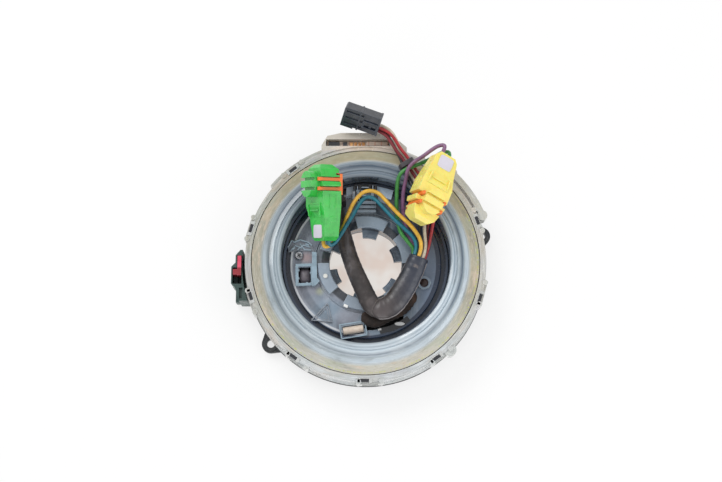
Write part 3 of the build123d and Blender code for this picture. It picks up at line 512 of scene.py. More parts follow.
WIRES = {
    "yellow_wire": (1.05, lin(232, 182, 62), [
        (28.2, 1.5, 28.0), (29.7, 5.2, 28.4), (29.2, 10.7, 29.4), (24.5, 17.5, 30.2),
        (17.5, 24.0, 30.0), (11.5, 31.0, 29.2), (6.5, 37.0, 28.2), (-0.5, 37.8, 27.8),
        (-6.0, 32.0, 28.8), (-9.6, 23.5, 30.4), (-11.8, 16.8, 31.0), (-14.8, 10.4, 31.2),
        (-18.6, 6.4, 32.0), (-22.4, 5.2, 33.0), (-22.3, 8.52, 34.1)]),
    "teal_wire": (1.05, lin(20, 112, 132), [
        (26.0, 2.5, 27.0), (27.3, 5.8, 27.2), (26.3, 11.2, 27.6), (21.6, 16.0, 27.9),
        (15.2, 21.8, 27.8), (9.3, 28.6, 27.2), (4.6, 34.0, 26.4), (0.0, 34.8, 26.2),
        (-3.4, 30.4, 27.6), (-7.2, 22.8, 30.4), (-10.4, 16.8, 33.2), (-13.0, 12.0, 34.4),
        (-15.7, 7.4, 35.6), (-19.0, 4.8, 36.8), (-19.8, 7.62, 38.1)]),
    "green_wire": (1.05, lin(62, 140, 66), [
        (25.1, 3.0, 24.6), (26.1, 5.6, 24.7), (23.0, 9.6, 25.2), (18.8, 14.5, 25.3),
        (17.2, 21.0, 25.4), (16.6, 28.5, 26.6), (16.7, 36.0, 29.6), (17.1, 42.6, 32.4),
        (19.4, 46.8, 33.8), (25.4, 49.2, 34.5), (31.5, 51.8, 34.0), (37.0, 55.0, 33.0),
        (41.4, 57.4, 33.9), (45.6, 56.8, 36.3), (44.2, 52.3, 37.7)]),
    "purple_wire": (1.05, lin(128, 88, 124), [
        (26.1, 2.8, 22.2), (27.2, 5.6, 22.4), (25.2, 10.6, 22.6), (22.0, 16.4, 22.8),
        (20.6, 22.6, 23.6), (19.9, 29.4, 26.4), (20.2, 36.5, 30.2), (21.6, 42.6, 33.4),
        (22.4, 47.4, 36.4), (25.6, 51.0, 36.9), (30.6, 54.0, 37.0), (34.8, 57.2, 37.5),
        (38.6, 59.6, 38.1), (42.2, 60.0, 38.7), (42.0, 57.2, 39.2), (40.2, 54.2, 39.6)]),
    "red_wire": (0.85, lin(168, 38, 44), [
        (31.4, 0.4, 24.6), (33.4, 5.5, 24.9), (35.4, 15.4, 26.2), (36.8, 23.6, 29.4),
        (35.5, 30.3, 31.6), (31.5, 41.4, 31.2), (26.6, 49.0, 31.5), (22.8, 55.0, 31.6),
        (18.4, 60.6, 31.6), (15.4, 66.0, 32.0), (11.9, 69.7, 32.0), (7.4, 71.5, 32.3)]),
    "dark_red_wire": (0.85, lin(122, 26, 38), [
        (30.5, 0.9, 22.2), (32.5, 6.0, 22.5), (33.0, 15.6, 24.2), (34.5, 24.4, 28.4),
        (33.3, 31.9, 31.8), (29.3, 40.2, 32.1), (24.6, 47.4, 31.7), (20.7, 53.5, 31.6),
        (16.2, 59.4, 31.4), (13.2, 64.6, 31.2), (10.6, 68.4, 30.9), (6.76, 70.1, 30.8)]),
    "cream_wire": (0.95, lin(206, 196, 176), [
        (30.4, 0.7, 27.0), (32.4, 5.8, 27.3), (31.2, 16.4, 26.6), (32.2, 25.3, 28.8),
        (30.9, 32.7, 31.5), (27.1, 40.2, 31.0), (23.2, 49.0, 29.2), (21.6, 55.8, 29.3),
        (18.6, 61.2, 29.3), (15.8, 67.4, 29.6), (12.6, 71.8, 29.8), (8.0, 73.6, 30.1)]),
    "black_wire": (0.95, lin(40, 40, 44), [
        (28.3, 1.9, 21.2), (30.3, 7.0, 21.5), (28.8, 16.5, 24.2), (29.8, 25.5, 28.2),
        (27.7, 35.0, 31.5), (24.0, 41.2, 31.1), (20.8, 48.2, 29.4), (19.4, 54.2, 29.3),
        (16.4, 60.0, 29.1), (13.6, 65.6, 28.7), (11.2, 70.2, 28.6), (7.3, 72.0, 28.8)]),
}
SLEEVE = [
    (-16.6, 29.4, 23.7), (-12.0, 14.2, 23.7), (-7.6, -1.2, 23.8), (-0.8, -16.6, 23.7),
    (3.8, -26.0, 23.8), (12.8, -26.0, 23.9), (20.4, -15.2, 24.0), (25.4, -5.4, 24.2),
    (28.2, 1.6, 24.6)]


def mesh_object(name, verts, faces, mat, smooth=True):
    m = bpy.data.meshes.new(name)
    m.from_pydata(verts, [], faces)
    m.update()
    o = bpy.data.objects.new(name, m)
    bpy.context.scene.collection.objects.link(o)
    m.materials.append(mat)
    if smooth:
        for p in m.polygons:
            p.use_smooth = True
    return o


def sleeve_material():
    """Heat-shrink sleeve: soft black, dusty brown on top, with painted highlights where it is
    stretched.
    """
    s = Shader("sleeve_black", lin(70, 66, 66), 0.40, Sheen_Weight=0.1, Coat_Weight=0.15,
               Coat_Roughness=0.2)
    s.radius()
    tone = s.ramp(s.noise(110, 5, 0.62), [(0.28, lin(34, 31, 32)), (0.50, lin(54, 48, 48)),
                                          (0.72, lin(88, 81, 80))])
    # painted bluish reflection on the leg by the wires' end
    tone = s.tint(tone, s.band(s.x, 0.012, 0.024), 0.6, lin(46, 58, 78))
    # the rounded lobe at the fold is paler
    tone = s.tint(tone, s.near(8.5, -26.0, 3.0, 9.0), 0.45, lin(98, 90, 92))
    # painted highlights in long streaks
    highlight_streak = s.noise(60, 5, 0.65, s.stretch(1.0, 0.35, 1.0))
    tone = s.tint(tone, s.band(highlight_streak, 0.55, 0.68), 0.45, lin(138, 142, 154))
    # painted highlight along the convex edges
    tone = s.tint(tone, s.edges(0.0006), 0.7, lin(128, 120, 116))
    s.colour(tone)
    s.roughness(0.26, 0.52, 300)
    h = s.math("ADD", s.noise(240, 5), s.times(s.noise(1500, 2), 0.3))
    s.bump(h, 0.25, 0.0004)
    return s


def tape_material():
    """Brown-black cloth tape: fine weave, fuzzy and dull."""
    s = Shader("cloth_tape_brown", lin(46, 34, 28), 0.75, Sheen_Weight=0.15)
    tone = s.ramp(s.noise(130, 5, 0.65), [(0.30, lin(24, 17, 15)), (0.52, lin(46, 32, 25)),
                                          (0.74, lin(88, 64, 48))])
    s.colour(tone)
    s.roughness(0.6, 0.85, 500)
    s.bump(s.math("ADD", s.wave("DIAGONAL", 900), s.noise(1400, 3)), 0.3, 0.0002)
    return s


def rings_along(path, sides, shape):
    """Rings of points round a path; shape(mm run, total mm, angle) gives width, height, lift."""
    rings = []
    total = sum((b - a).length for a, b in zip(path, path[1:])) / MM
    run, n = 0.0, len(path)
    for i, p in enumerate(path):
        if i:
            run += (p - path[i - 1]).length / MM
        along = (path[min(i + 1, n - 1)] - path[max(i - 1, 0)]).normalized()
        side = along.cross(Vector((0, 0, 1))).normalized()
        up = side.cross(along).normalized()
        ring = []
        for k in range(sides):
            a = 2 * math.pi * k / sides
            wx, hz, lift = shape(run, total, a)
            ring.append(p + side * (math.cos(a) * wx * MM) + up * (math.sin(a) * hz * MM)
                        + Vector((0, 0, lift * MM)))
        rings.append(ring)
    return rings


def skin(rings, verts, faces, close_start=True, close_end=True):
    """Quads between rings, added to verts and faces."""
    base, sides = len(verts), len(rings[0])
    for ring in rings:
        verts.extend(ring)
    for i in range(len(rings) - 1):
        for k in range(sides):
            a, b = base + i * sides + k, base + i * sides + (k + 1) % sides
            faces.append((a, b, b + sides, a + sides))
    if close_start:
        faces.append(tuple(base + k for k in range(sides))[::-1])
    if close_end:
        last = base + (len(rings) - 1) * sides
        faces.append(tuple(last + k for k in range(sides)))


def wrinkle(run, a, amount):
    return 1 + amount * (0.55 * math.sin(run * 1.9 + 1.4 * math.cos(a)) + 0.30 * math.sin(
        run * 3.7 + 2 * a + 0.6) + 0.15 * math.sin(run * 8.3 - 3 * a))


def first_leg(run, total, a):
    """From the gland to the fold: round at first, then wider and flatter."""
    t = run / total
    k = wrinkle(run, a, 0.020 + 0.020 * max(0.0, t - 0.6))
    flat = max(0.0, (t - 0.45) / 0.55)
    tuck = min(1.0, math.sqrt(max(0.02, (1 - t) / 0.05)))
    return (4.35 + 0.95 * flat) * k * tuck, (4.35 - 1.0 * flat) * k * tuck, -0.5 * flat


def second_leg(run, total, a):
    """From the rounded lobe at the fold to the open end over the wires."""
    t = run / total
    lobe = min(1.0, run / 5.6)
    nose = math.sqrt(max(0.0, 1 - (1 - lobe) ** 2))
    flare = max(0.0, (t - 0.80) / 0.20)
    k = wrinkle(run, a, 0.022 + 0.012 * flare)
    crease = 0.55 * max(0.0, math.cos(a - 0.25)) ** 14 * min(1.0, run / 8)
    wide = (5.55 + 0.35 * math.sin(math.pi * min(1.0, t * 1.3)) - 0.45 * flare + crease) * k
    high = (3.7 + 1.05 * flare) * k
    return wide * max(nose, 0.05), high * max(nose, 0.05), 1.5 * max(0.0, 1 - t / 0.45)


SIDES = 32
sleeve_path = centreline(SLEEVE, 16)
count = len(sleeve_path)
# the legs overlap at the fold, where the second one's lobe is pushed outwards
part_a = sleeve_path[:int(count * 0.60)]
part_b = sleeve_path[int(count * 0.515):]
part_b = [p + Vector((-1.6, -1.0, 0)) * MM * max(0.0, 1 - i / 14) for i, p in enumerate(part_b)]
verts, faces = [], []
skin(rings_along(part_a, SIDES, first_leg), verts, faces)
outer = rings_along(part_b, SIDES, second_leg)
# the open end: a ragged edge, its lip and a hollow throat
tip = sum(outer[-1], Vector()) / SIDES
heading = (part_b[-1] - part_b[-2]).normalized()
ragged = [random.uniform(-0.25, 0.45) for _ in range(SIDES)]
outer[-1] = [v + heading * (ragged[k] * MM) for k, v in enumerate(outer[-1])]
lip = [tip + (v - tip) * 0.90 for v in outer[-1]]
throat = [tip + (v - tip) * 0.84 - heading * 2.0 * MM for v in outer[-1]]
deep = [tip + (v - tip) * 0.80 - heading * 6.0 * MM for v in outer[-1]]
first_face = len(faces)
skin(outer + [lip, throat, deep], verts, faces)
sleeve = mesh_object("sleeve_tube", verts, faces, sleeve_material().mat)
# pressed crease along the outer edge of the second leg, coloured light grey
CREASE = plastic("sleeve_crease", lin(164, 158, 158), 0.34, 0.3, dirt=lin(76, 72, 74))
sleeve.data.materials.append(CREASE.mat)
for i in range(6, len(outer) - 3):
    sleeve.data.polygons[first_face + i * SIDES + 1].material_index = 1
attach(sleeve, "rotor")
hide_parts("sleeve")

# taped bundle that lies on the hub plate under the sleeve's fold
BUNDLE = [(-1.0, -27.0, 18.2), (1.4, -32.4, 18.3), (9.0, -31.8, 18.3), (16.8, -27.6, 18.5),
          (22.8, -22.4, 18.6), (26.0, -15.6, 18.4)]


def bundle_shape(run, total, a):
    end = min(1.0, math.sqrt(max(0.03, min(run, total - run) / 3.0)))
    wrap = 1 + 0.05 * math.sin(run * 2.6 + a) + 0.03 * math.sin(run * 7.0 - 2 * a)
    waist = 1 - 0.36 * math.exp(-((run / total - 0.44) / 0.16) ** 2)
    return 3.4 * end * wrap * waist, 1.9 * end * wrap, 0.0


verts, faces = [], []
skin(rings_along(centreline(BUNDLE, 14), 20, bundle_shape), verts, faces)
bundle = mesh_object("taped_bundle", verts, faces, tape_material().mat)
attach(bundle, "rotor")

for name, (radius, base, points) in WIRES.items():
    mat = wire_material(name + "_pvc", base)
    w = nurbs(name + "_lead", points, radius, mat.mat)
    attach(w, "rotor")
    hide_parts(name)


# ------------------------------------------------------------------ small moulded pieces
def solid(name, prisms, shader, body="rotor", bevel=0.12, matrix=None):
    """Straight prisms (outline in mm, bottom, top) in one mesh with softened edges."""
    bm = bmesh.new()
    for outline, z0, z1 in prisms:
        low = [bm.verts.new((x * MM, y * MM, z0 * MM)) for x, y in outline]
        high = [bm.verts.new((x * MM, y * MM, z1 * MM)) for x, y in outline]
        n = len(outline)
        bm.faces.new(low[::-1])
        bm.faces.new(high)
        for i in range(n):
            j = (i + 1) % n
            bm.faces.new((low[i], low[j], high[j], high[i]))
    bmesh.ops.recalc_face_normals(bm, faces=bm.faces)
    bmesh.ops.bevel(bm, geom=list(bm.edges), offset=bevel * MM, segments=2, profile=0.6,
                    affect="EDGES", clamp_overlap=True)
    if matrix:
        bm.transform(matrix)
    m = bpy.data.meshes.new(name)
    bm.to_mesh(m)
    bm.free()
    o = bpy.data.objects.new(name, m)
    bpy.context.scene.collection.objects.link(o)
    m.materials.append(shader.mat)
    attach(o, body)


def bar(points, width):
    """Outline of a bar of one width along a line of points."""
    pts = [Vector((p[0], p[1], 0)) for p in points]
    left, right = [], []
    for i, p in enumerate(pts):
        a = (pts[i] - pts[i - 1]).normalized() if i else (pts[1] - pts[0]).normalized()
        b = (pts[i + 1] - pts[i]).normalized() if i < len(pts) - 1 else a
        mid = (a + b).normalized()
        off = Vector((-mid.y, mid.x, 0)) * (width / 2 / max(0.5, mid.dot(a)))
        left.append((p.x + off.x, p.y + off.y))
        right.append((p.x - off.x, p.y - off.y))
    return right + left[::-1]


def box_outline(cx, cy, w, h, turn=0.0):
    c, q = math.cos(math.radians(turn)), math.sin(math.radians(turn))
    return [(cx + x * c - y * q, cy + x * q + y * c)
            for x, y in ((-w / 2, -h / 2), (w / 2, -h / 2), (w / 2, h / 2), (-w / 2, h / 2))]


def boxes(cx, cy, places, turn=0.0):
    """Outlines of small boxes set out from one centre: (dx, dy, width, height)."""
    return [box_outline(cx + dx, cy + dy, w, h, turn) for dx, dy, w, h in places]


def rounded(cx, cy, w, h, power=4.0, count=28):
    """Superellipse outline."""
    out = []
    for k in range(count):
        a = 2 * math.pi * k / count
        c, q = math.cos(a), math.sin(a)
        out.append((cx + w / 2 * math.copysign(abs(c) ** (2 / power), c),
                    cy + h / 2 * math.copysign(abs(q) ** (2 / power), q)))
    return out


def dome(name, cx, cy, w, h, z0, rise, shader, power=4.0, body="rotor", slot="hub_black"):
    """Low dome on a superellipse, such as a rubber button."""
    verts, faces = [], []
    rings, count = 8, 32
    for i in range(rings):
        k = i / rings
        for x, y in rounded(0, 0, w, h, power, count):
            verts.append(Vector(((cx + x * math.cos(k * math.pi / 2)) * MM,
                                 (cy + y * math.cos(k * math.pi / 2)) * MM,
                                 (z0 + rise * math.sin(k * math.pi / 2)) * MM)))
    verts.append(Vector((cx * MM, cy * MM, (z0 + rise) * MM)))
    for i in range(rings - 1):
        for k in range(count):
            a, b = i * count + k, i * count + (k + 1) % count
            faces.append((a, b, b + count, a + count))
    last = (rings - 1) * count
    for k in range(count):
        faces.append((last + k, last + (k + 1) % count, len(verts) - 1))
    faces.append(tuple(range(count))[::-1])
    o = mesh_object(name, verts, faces, shader.mat)
    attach(o, body)


# painted light: lighter copies of the hub's glossy black plastic for raised pieces, one fully and
# one half lit; the dark one is the black itself, and the clear one is the ring plastic lit up for
# painted highlights
HUB_LIT = plastic("hub_raised_painted_light", lin(150, 174, 190), 0.2, 0.22, dirt=lin(92, 108, 122),
                 edge_highlight=lin(220, 232, 240), soft=0.0002, Coat_Weight=0.5)
HUB_HALF_LIT = plastic("hub_mid_painted_light", lin(134, 140, 150), 0.22, 0.3, dirt=lin(60, 70, 84),
                  edge_highlight=lin(208, 218, 230), soft=0.0002, Coat_Weight=0.5)
DARK = plastic("hub_dark_gloss", lin(40, 42, 48), 0.16, 0.3, edge_highlight=lin(110, 112, 120),
               soft=0.0002, Coat_Weight=0.6)
CLEAR_LIT = plastic("rim_clear_painted_highlight", lin(214, 216, 214), 0.2, 0.08, edge_highlight=lin(246, 248, 248),
                   soft=0.0002, Transmission_Weight=0.25)
LAVENDER = plastic("plate_pale", lin(216, 212, 224), 0.35, 0.06, edge_highlight=lin(240, 238, 244))
PALE = plastic("bare_white", lin(254, 254, 252), 0.3, 0.03)
COPPER = Shader("contact_copper", lin(206, 146, 92), 0.3, Metallic=0.8)
COPPER.colour(COPPER.ramp(COPPER.noise(500, 4), [(0.3, lin(170, 110, 64)),
                                                 (0.7, lin(226, 176, 120))]))
COPPER.roughness(0.2, 0.45, 800)

PLATE = 16.0                    # top of the hub plate

# square pocket: frame with small lugs and the upright strip beside it in painted light, a dark
# button
POCKET = (-32.8, -6.6)
frame_bars = boxes(*POCKET, [(0, 5.3, 9.8, 1.5), (0, -5.3, 9.8, 1.5), (-4.15, 0, 1.5, 9.4),
                             (4.15, 0, 1.5, 9.4)], 2)
lugs = boxes(*POCKET, [(-3.3, 2.6, 0.9, 1.0), (-3.3, -1.8, 0.9, 1.0), (3.3, 1.2, 0.9, 1.0),
                       (1.4, -4.4, 1.0, 0.9)])
solid("pocket_frame", [(o, PLATE + 0.6, PLATE + 2.5) for o in frame_bars]
      + [(o, PLATE - 0.5, PLATE + 1.7) for o in lugs], HUB_LIT)
solid("pocket_strip", [([(-28.9, 6.0), (-26.4, 5.6), (-26.1, -8.4), (-24.6, -10.0),
                         (-26.6, -12.4), (-28.7, -13.0)], PLATE - 0.2, PLATE + 3.1)], HUB_LIT)
dome("pocket_button", *POCKET, 6.4, 8.4, 12.6, 3.6,
     plastic("button_rubber", lin(116, 110, 116), 0.45, 0.25, dirt=lin(74, 68, 72)))

# cross recess in the screw's head, as dark bars of painted shade
screw_low, screw_high = (Vector(corner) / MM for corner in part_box("hub_screw"))
screw = (screw_low + screw_high) / 2
solid("screw_recess", [(box_outline(screw.x, screw.y, w, h, 30), screw_high.z - 0.3,
                        screw_high.z + 0.04) for w, h in ((2.4, 0.6), (0.6, 2.4))],
      DARK, "rotor", 0.05)

# crinkled bracket above the screw: a low block with crossing ribs, the block half lit and the ribs
# in painted light
solid("bracket_block", [([(-42.2, 9.0), (-40.6, 12.6), (-35.8, 13.2), (-29.4, 11.2), (-27.9, 6.6),
                          (-33.0, 6.9), (-38.6, 6.6), (-41.6, 6.2)], 12.4, PLATE + 0.5)], HUB_HALF_LIT)
solid("bracket_ribs", [(outline, PLATE + 0.2, PLATE + top) for outline, top in (
    (bar([(-42.0, 8.6), (-39.9, 12.4), (-38.0, 11.0)], 0.5), 1.8),
    (bar([(-40.6, 6.6), (-38.0, 9.6), (-34.4, 8.2)], 0.5), 1.5),
    (bar([(-38.4, 11.6), (-35.4, 12.7), (-31.2, 11.4), (-29.0, 9.6)], 0.55), 2.0),
    (bar([(-36.8, 7.3), (-33.6, 9.8), (-30.0, 8.8)], 0.5), 1.6),
    (bar([(-35.6, 10.8), (-33.0, 7.4), (-29.4, 7.2)], 0.5), 1.3),
    (box_outline(-39.0, 8.2, 1.6, 1.1, 35), 1.1),
    (box_outline(-31.6, 10.3, 2.0, 1.0, -20), 1.2))], HUB_LIT, bevel=0.08)

# triangle: raised outlines in painted light, one inside the other
corners = [Vector((-20.2, -21.6, 0)), Vector((-29.4, -31.2, 0)), Vector((-17.8, -32.3, 0))]
middle = sum(corners, Vector()) / 3
tri_bars = []
for share, width, top in ((0.93, 0.55, 1.15), (0.62, 0.4, 0.55)):
    c = [middle + (p - middle) * share for p in corners]
    for i in range(3):
        tri_bars.append((bar([c[i], c[(i + 1) % 3]], width), PLATE - 0.2, PLATE + top))
solid("triangle_outline", tri_bars, HUB_HALF_LIT, bevel=0.08)

# clip frame round the tan pin, in painted light
PIN, PIN_TURN = (-6.6, -36.4), 9.0
turn = math.radians(PIN_TURN)
clip_bars = []
for dx, dy, w, h in ((0, 3.75, 14.0, 0.7), (0, -3.75, 14.0, 0.7), (-6.8, 0, 0.7, 7.6),
                     (6.8, 0, 0.7, 7.6)):
    clip_bars.append((box_outline(PIN[0] + dx * math.cos(turn) - dy * math.sin(turn),
                                  PIN[1] + dx * math.sin(turn) + dy * math.cos(turn),
                                  w, h, PIN_TURN), PLATE + 0.9, PLATE + 1.8))
solid("clip_frame_rim", clip_bars, HUB_LIT, bevel=0.1)

# boss with its dark cap and a painted highlight in an arc round it, a dark patch of painted shadow
# at the arc slot's outer side, white pads in the arc slot
BOSS, BOSS_HIGHLIGHT_R = (31.5, -10.9), 3.2
dome("boss_cap", *BOSS, 5.0, 5.0, PLATE + 1.2, 1.3,
     plastic("cap_brown", lin(62, 46, 44), 0.3, 0.3, edge_highlight=lin(120, 110, 106)), power=2.0)
highlight_arc_points = [(BOSS[0] + BOSS_HIGHLIGHT_R * math.cos(math.radians(a)),
               BOSS[1] + BOSS_HIGHLIGHT_R * math.sin(math.radians(a))) for a in range(-170, 21, 10)]
solid("boss_highlight_arc", [(bar(highlight_arc_points, 0.5), PLATE + 1.4, PLATE + 2.0)], HUB_LIT, bevel=0.08)
solid("slot_shadow", [(bar([(7.5, -36.9), (13.5, -35.5), (18.6, -33.2), (23.2, -30.0)], 3.2),
                    PLATE - 0.4, PLATE + 0.25)], DARK, bevel=0.1)
solid("slot_pads", [(rounded(18.2, -33.0, 5.4, 2.0, 2.0), PLATE, PLATE + 0.8),
                    (bar([(6.6, -36.2), (8.4, -35.8)], 1.1), PLATE, PLATE + 0.6)],
      PALE, "rotor", 0.15)
solid("ring_catch", [(box_outline(-10.6, -23.6, 2.4, 1.5, -25), 17.6, 18.7)],
      PALE, "rotor", 0.2)

# wheel latch: pads and cross bars in painted light, black side cheeks and thin painted glints
PAD_LIT = plastic("latch_pad_painted_light", lin(200, 222, 246), 0.16, 0.16, dirt=lin(120, 140, 168),
              edge_highlight=lin(236, 244, 250), soft=0.0002, Coat_Weight=0.5)
solid("latch_pads", [(outline, PLATE - 0.6, PLATE + 1.5) for outline in (
    [(-10.4, 42.0), (-6.6, 42.9), (-6.6, 38.4), (-10.6, 37.4)],
    [(6.3, 42.9), (15.4, 40.5), (14.0, 35.4), (6.3, 37.8)])], PAD_LIT)
solid("latch_bar", [(box_outline(-0.4, 39.4, 9.6, 0.8), PLATE + 3.2, PLATE + 4.9),
                    (box_outline(-0.4, 37.2, 9.6, 0.6), PLATE + 2.6, PLATE + 3.6)],
      HUB_LIT, bevel=0.1)
solid("latch_cheeks", [(box_outline(-5.9, 39.2, 0.9, 7.4), PLATE - 0.2, PLATE + 4.4),
                       (box_outline(-2.9, 40.2, 0.8, 5.4), PLATE + 2.4, PLATE + 5.1),
                       (box_outline(2.4, 40.2, 0.8, 5.4), PLATE + 2.4, PLATE + 5.1),
                       (box_outline(5.6, 39.2, 0.9, 7.4), PLATE - 0.2, PLATE + 4.4),
                       (box_outline(-0.2, 42.7, 12.4, 0.8), PLATE + 1.0, PLATE + 4.2)],
      DARK, bevel=0.1)
solid("latch_glints", [(box_outline(-4.4, 40.0, 0.5, 4.4), PLATE + 2.4, PLATE + 4.6),
                       (box_outline(4.0, 40.6, 0.5, 4.0), PLATE + 2.4, PLATE + 4.6),
                       (box_outline(-0.2, 41.4, 4.0, 0.5), PLATE + 3.0, PLATE + 4.8)],
      PAD_LIT, bevel=0.08)

# snap windows round the rim: the base's dark hook tips in frames of painted highlight, with none
# at the cable box or under the yellow plug; those in the front half sit a little clockwise
WINDOWS, WINDOW_R, WINDOW_FLOOR = 10, 64.0, 22.9
FIRST_WINDOW, FRONT_SHIFT = 20.0, -2.5
NO_WINDOW = (56.0, 92.0)        # degrees
for k in range(WINDOWS):
    deg = FIRST_WINDOW + 360.0 / WINDOWS * k
    if deg in NO_WINDOW:
        continue
    place = Matrix.Rotation(math.radians(deg + (FRONT_SHIFT if deg > 180 else 0.0)), 4, "Z")
    solid(f"hook_tip_{k}", [(box_outline(WINDOW_R, 0, 1.7, 4.4), WINDOW_FLOOR, 24.35)],
          DARK, "stator", 0.1, place)
    solid(f"hook_frame_{k}", [(box_outline(WINDOW_R, 3.1, 2.4, 1.6), WINDOW_FLOOR, 24.6),
                              (box_outline(WINDOW_R, -3.1, 2.4, 1.6), WINDOW_FLOOR, 24.6),
                              (box_outline(WINDOW_R - 1.1, 0, 0.5, 7.6), WINDOW_FLOOR, 24.3)],
          CLEAR_LIT, "stator", 0.15, place)

# cable box: dark end blocks, copper strips and a pale lid in the slot
BOX_Y = 65.5
solid("box_lid", [(box_outline(6.4, BOX_Y, 11.6, 2.2), 21.0, 22.9),
                  (box_outline(6.4, BOX_Y, 9.6, 0.5), 22.8, 23.2)],
      MATS["stator_terminal"], "stator")
solid("box_strips", [(box_outline(x, BOX_Y, 1.5, 2.2), 21.1, 21.7)
                     for x in (-7.6, -5.4, -3.2, -1.0)], COPPER, "stator", 0.1)
solid("box_end_block", [(box_outline(-17.2, BOX_Y, 6.0, 2.3), 20.8, 22.6),
                        (box_outline(-11.2, BOX_Y, 2.4, 2.3), 20.8, 22.0)],
      DARK, "stator")


# ------------------------------------------------------------------ plugs
def local_frame(origin, heading, rise, roll):
    """The plugs' own frames, as in the part: x along the plug, z out of its broad face."""
    t, u, v = (math.radians(w) for w in (heading, rise, roll))
    x = Vector((math.cos(t) * math.cos(u), math.sin(t) * math.cos(u), math.sin(u)))
    level = Vector((-math.sin(t), math.cos(t), 0))
    z = x.cross(level) * math.cos(v) + level * math.sin(v)
    y = z.cross(x)
    m = Matrix((x, y, z)).transposed().to_4x4()
    m.translation = Vector(origin) * MM
    return m


GREEN = local_frame((-17.5, 8.5, 33.9), 90.0, 12.0, 58.0)
YELLOW = local_frame((40.6, 53.6, 34.8), 247.0, 5.0, 23.0)
BLACK = local_frame((7.9, 73.2, 32.0), 161.0, 4.0, 42.0)


def plug_details(tag, place):
    """Bare plate near the wires, ribs and latch pockets on the sides, raised lines on the lid."""
    shader, slot = MATS[f"{tag}_plug"], f"plug_{tag}"
    solid(f"{tag}_plate", [(rounded(5.0, 0, 7.0, 8.2, 7.0), 8.3, 9.25)], LAVENDER, "rotor",
          0.1, place)
    side = [(box_outline(x, 0, 0.8, 14.2 + (x - 8.0) * 0.55), 2.4, 5.8) for x in (8.0, 10.2, 12.4)]
    side += [(box_outline(5.2, 0, 2.4, 13.3), 3.0, 3.6),
             (box_outline(20.5, 0, 7.0, 18.5), 3.2, 3.8),
             (box_outline(20.5, 0, 7.0, 18.5), 6.6, 7.2),
             (box_outline(23.6, 0, 0.8, 18.5), 3.2, 7.2)]
    solid(f"{tag}_side_ribs", side, shader, "rotor", 0.08, place)
    top = [(bar([(13.0, -5.4), (19.5, -6.2), (19.5, 6.2), (13.0, 5.4)], 0.7), 10.0, 11.45),
           (box_outline(16.0, 0, 0.7, 8.0), 10.2, 11.45)]
    solid(f"{tag}_top_ribs", top, shader, "rotor", 0.08, place)


plug_details("green", GREEN)
plug_details("yellow", YELLOW)
# black plug: lock lever with side rails, a collar at each end
solid("black_lever", [(box_outline(5.0, -1.0, 8.4, 0.7), 3.6, 4.9),
                      (box_outline(5.0, 2.7, 8.4, 0.7), 3.6, 4.9),
                      (box_outline(1.0, 0.85, 0.9, 3.8), 3.6, 4.7),
                      (box_outline(8.9, 0.85, 0.9, 3.8), 3.6, 4.7)],
      MATS["black_plug"], "rotor", 0.1, BLACK)
solid("black_collar", [(box_outline(11.4, 0, 0.9, 11.0), -4.3, 4.5),
                       (box_outline(0.6, 0, 1.0, 10.8), -4.2, 4.4)],
      MATS["black_plug"], "rotor", 0.1, BLACK)


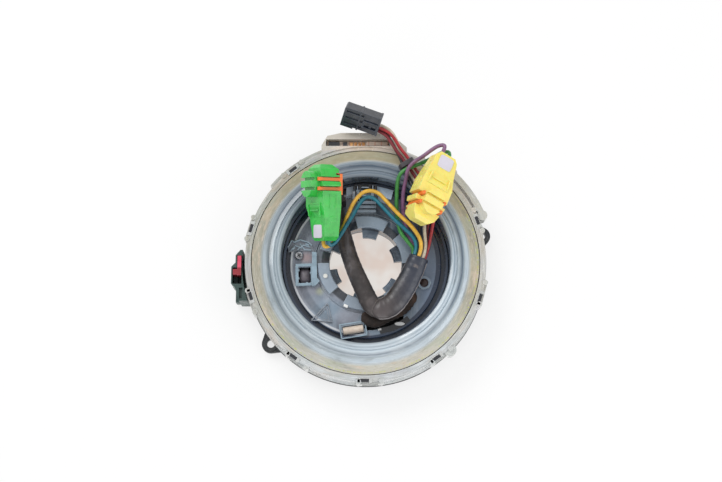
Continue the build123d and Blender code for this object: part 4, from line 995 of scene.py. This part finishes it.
# ------------------------------------------------------------------ stage, light, camera
def floor_material():
    """White floor with a warm patch under the bore, stained and in painted shade, lit from itself
    where a ray sees it.
    """
    m = bpy.data.materials.new("floor_white")
    m.use_nodes = True
    tree = m.node_tree
    tree.nodes.clear()

    def node(kind, inputs=None, **props):
        n = tree.nodes.new(f"ShaderNode{kind}")
        for key, value in props.items():
            setattr(n, key, value)
        for key, value in (inputs or {}).items():
            if isinstance(value, bpy.types.NodeSocket):
                tree.links.new(value, n.inputs[key])
            else:
                n.inputs[key].default_value = value
        return n

    def ramp(fac, low, low_colour, high, high_colour):
        n = node("ValToRGB", {0: fac})
        ends = n.color_ramp.elements
        ends[0].position, ends[0].color = low, low_colour
        ends[1].position, ends[1].color = high, high_colour
        return n.outputs[0]

    place = node("TexCoord").outputs["Object"]
    out = node("VectorMath", {0: place}, operation="LENGTH").outputs["Value"]
    out = node("Math", {0: out, 1: 20.0}, operation="MULTIPLY").outputs[0]
    away = ramp(out, 0.52, (0, 0, 0, 1), 0.58, (1, 1, 1, 1))
    # the warm patch: stain together with painted shade under the bore
    cloud = node("TexNoise", {"Vector": place, "Scale": 60}).outputs["Fac"]
    warm = ramp(cloud, 0.40, lin(240, 224, 214), 0.60, lin(248, 243, 238))
    paint = node("Mix", {0: away, 6: warm, 7: (0.93, 0.93, 0.93, 1)}, data_type="RGBA")
    glow = node("Mix", {0: away, 6: warm, 7: (1, 1, 1, 1)}, data_type="RGBA")
    diffuse = node("BsdfDiffuse", {"Color": paint.outputs[2]}).outputs[0]
    emission = node("Emission", {"Color": glow.outputs[2], "Strength": 1.0}).outputs[0]
    rays = node("LightPath").outputs
    seen = node("Math", {0: rays["Is Camera Ray"], 1: rays["Is Glossy Ray"]},
                operation="ADD").outputs[0]
    seen = node("Math", {0: seen, 1: rays["Is Transmission Ray"]}, operation="ADD",
                use_clamp=True).outputs[0]
    seen = node("Math", {0: seen, 1: 0.72}, operation="MULTIPLY").outputs[0]
    both = node("MixShader", {0: seen, 1: diffuse, 2: emission}).outputs[0]
    node("OutputMaterial", {0: both})
    return m


FLOOR_HALF, FLOOR_Z = 3, -0.0002        # metres
floor = mesh_object("floor", [(x * FLOOR_HALF, y * FLOOR_HALF, FLOOR_Z)
                              for x, y in ((-1, -1), (1, -1), (1, 1), (-1, 1))],
                    [(0, 1, 2, 3)], floor_material(), smooth=False)


AIM = Vector((0, 0, 0.02))


def area(name, place, size, power):
    """A softbox aimed at the middle of the part."""
    lamp = bpy.data.lights.new(name, "AREA")
    lamp.shape = "RECTANGLE"
    lamp.size, lamp.size_y = size
    lamp.energy = power
    o = bpy.data.objects.new(name, lamp)
    bpy.context.scene.collection.objects.link(o)
    o.location = place
    o.rotation_mode = "QUATERNION"
    o.rotation_quaternion = (AIM - Vector(place)).to_track_quat("-Z", "Y")


area("key", (-0.45, 0.55, 0.85), (0.7, 0.5), 5.0)
area("fill", (0.75, -0.25, 0.6), (0.6, 0.6), 2.2)
area("front", (-0.1, -0.8, 0.35), (0.9, 0.3), 1.6)

world = bpy.data.worlds.new("studio")
bpy.context.scene.world = world
world.use_nodes = True
background = world.node_tree.nodes["Background"]
background.inputs["Color"].default_value = (1, 1, 1, 1)
background.inputs["Strength"].default_value = 0.62

# nearly straight above; the lens is written as a focal length in pixels of the 722 px wide picture
TILT = math.radians(12.5)
DISTANCE = 0.640
TARGET = Vector((-2.460, 12.668, 15.0)) * MM
FOCAL_PX, WIDTH_PX, SENSOR = 1176.5, 722, 36.0
cam = bpy.data.cameras.new("camera")
camera = bpy.data.objects.new("camera", cam)
bpy.context.scene.collection.objects.link(camera)
bpy.context.scene.camera = camera
back = Vector((0, -math.sin(TILT), math.cos(TILT)))
camera.location = TARGET + back * DISTANCE
camera.rotation_mode = "QUATERNION"
camera.rotation_quaternion = (-back).to_track_quat("-Z", "Y")
cam.sensor_width = SENSOR
cam.lens = SENSOR * FOCAL_PX / WIDTH_PX
cam.clip_start, cam.clip_end = 0.01, 20

bpy.context.scene.view_settings.view_transform = "Standard"
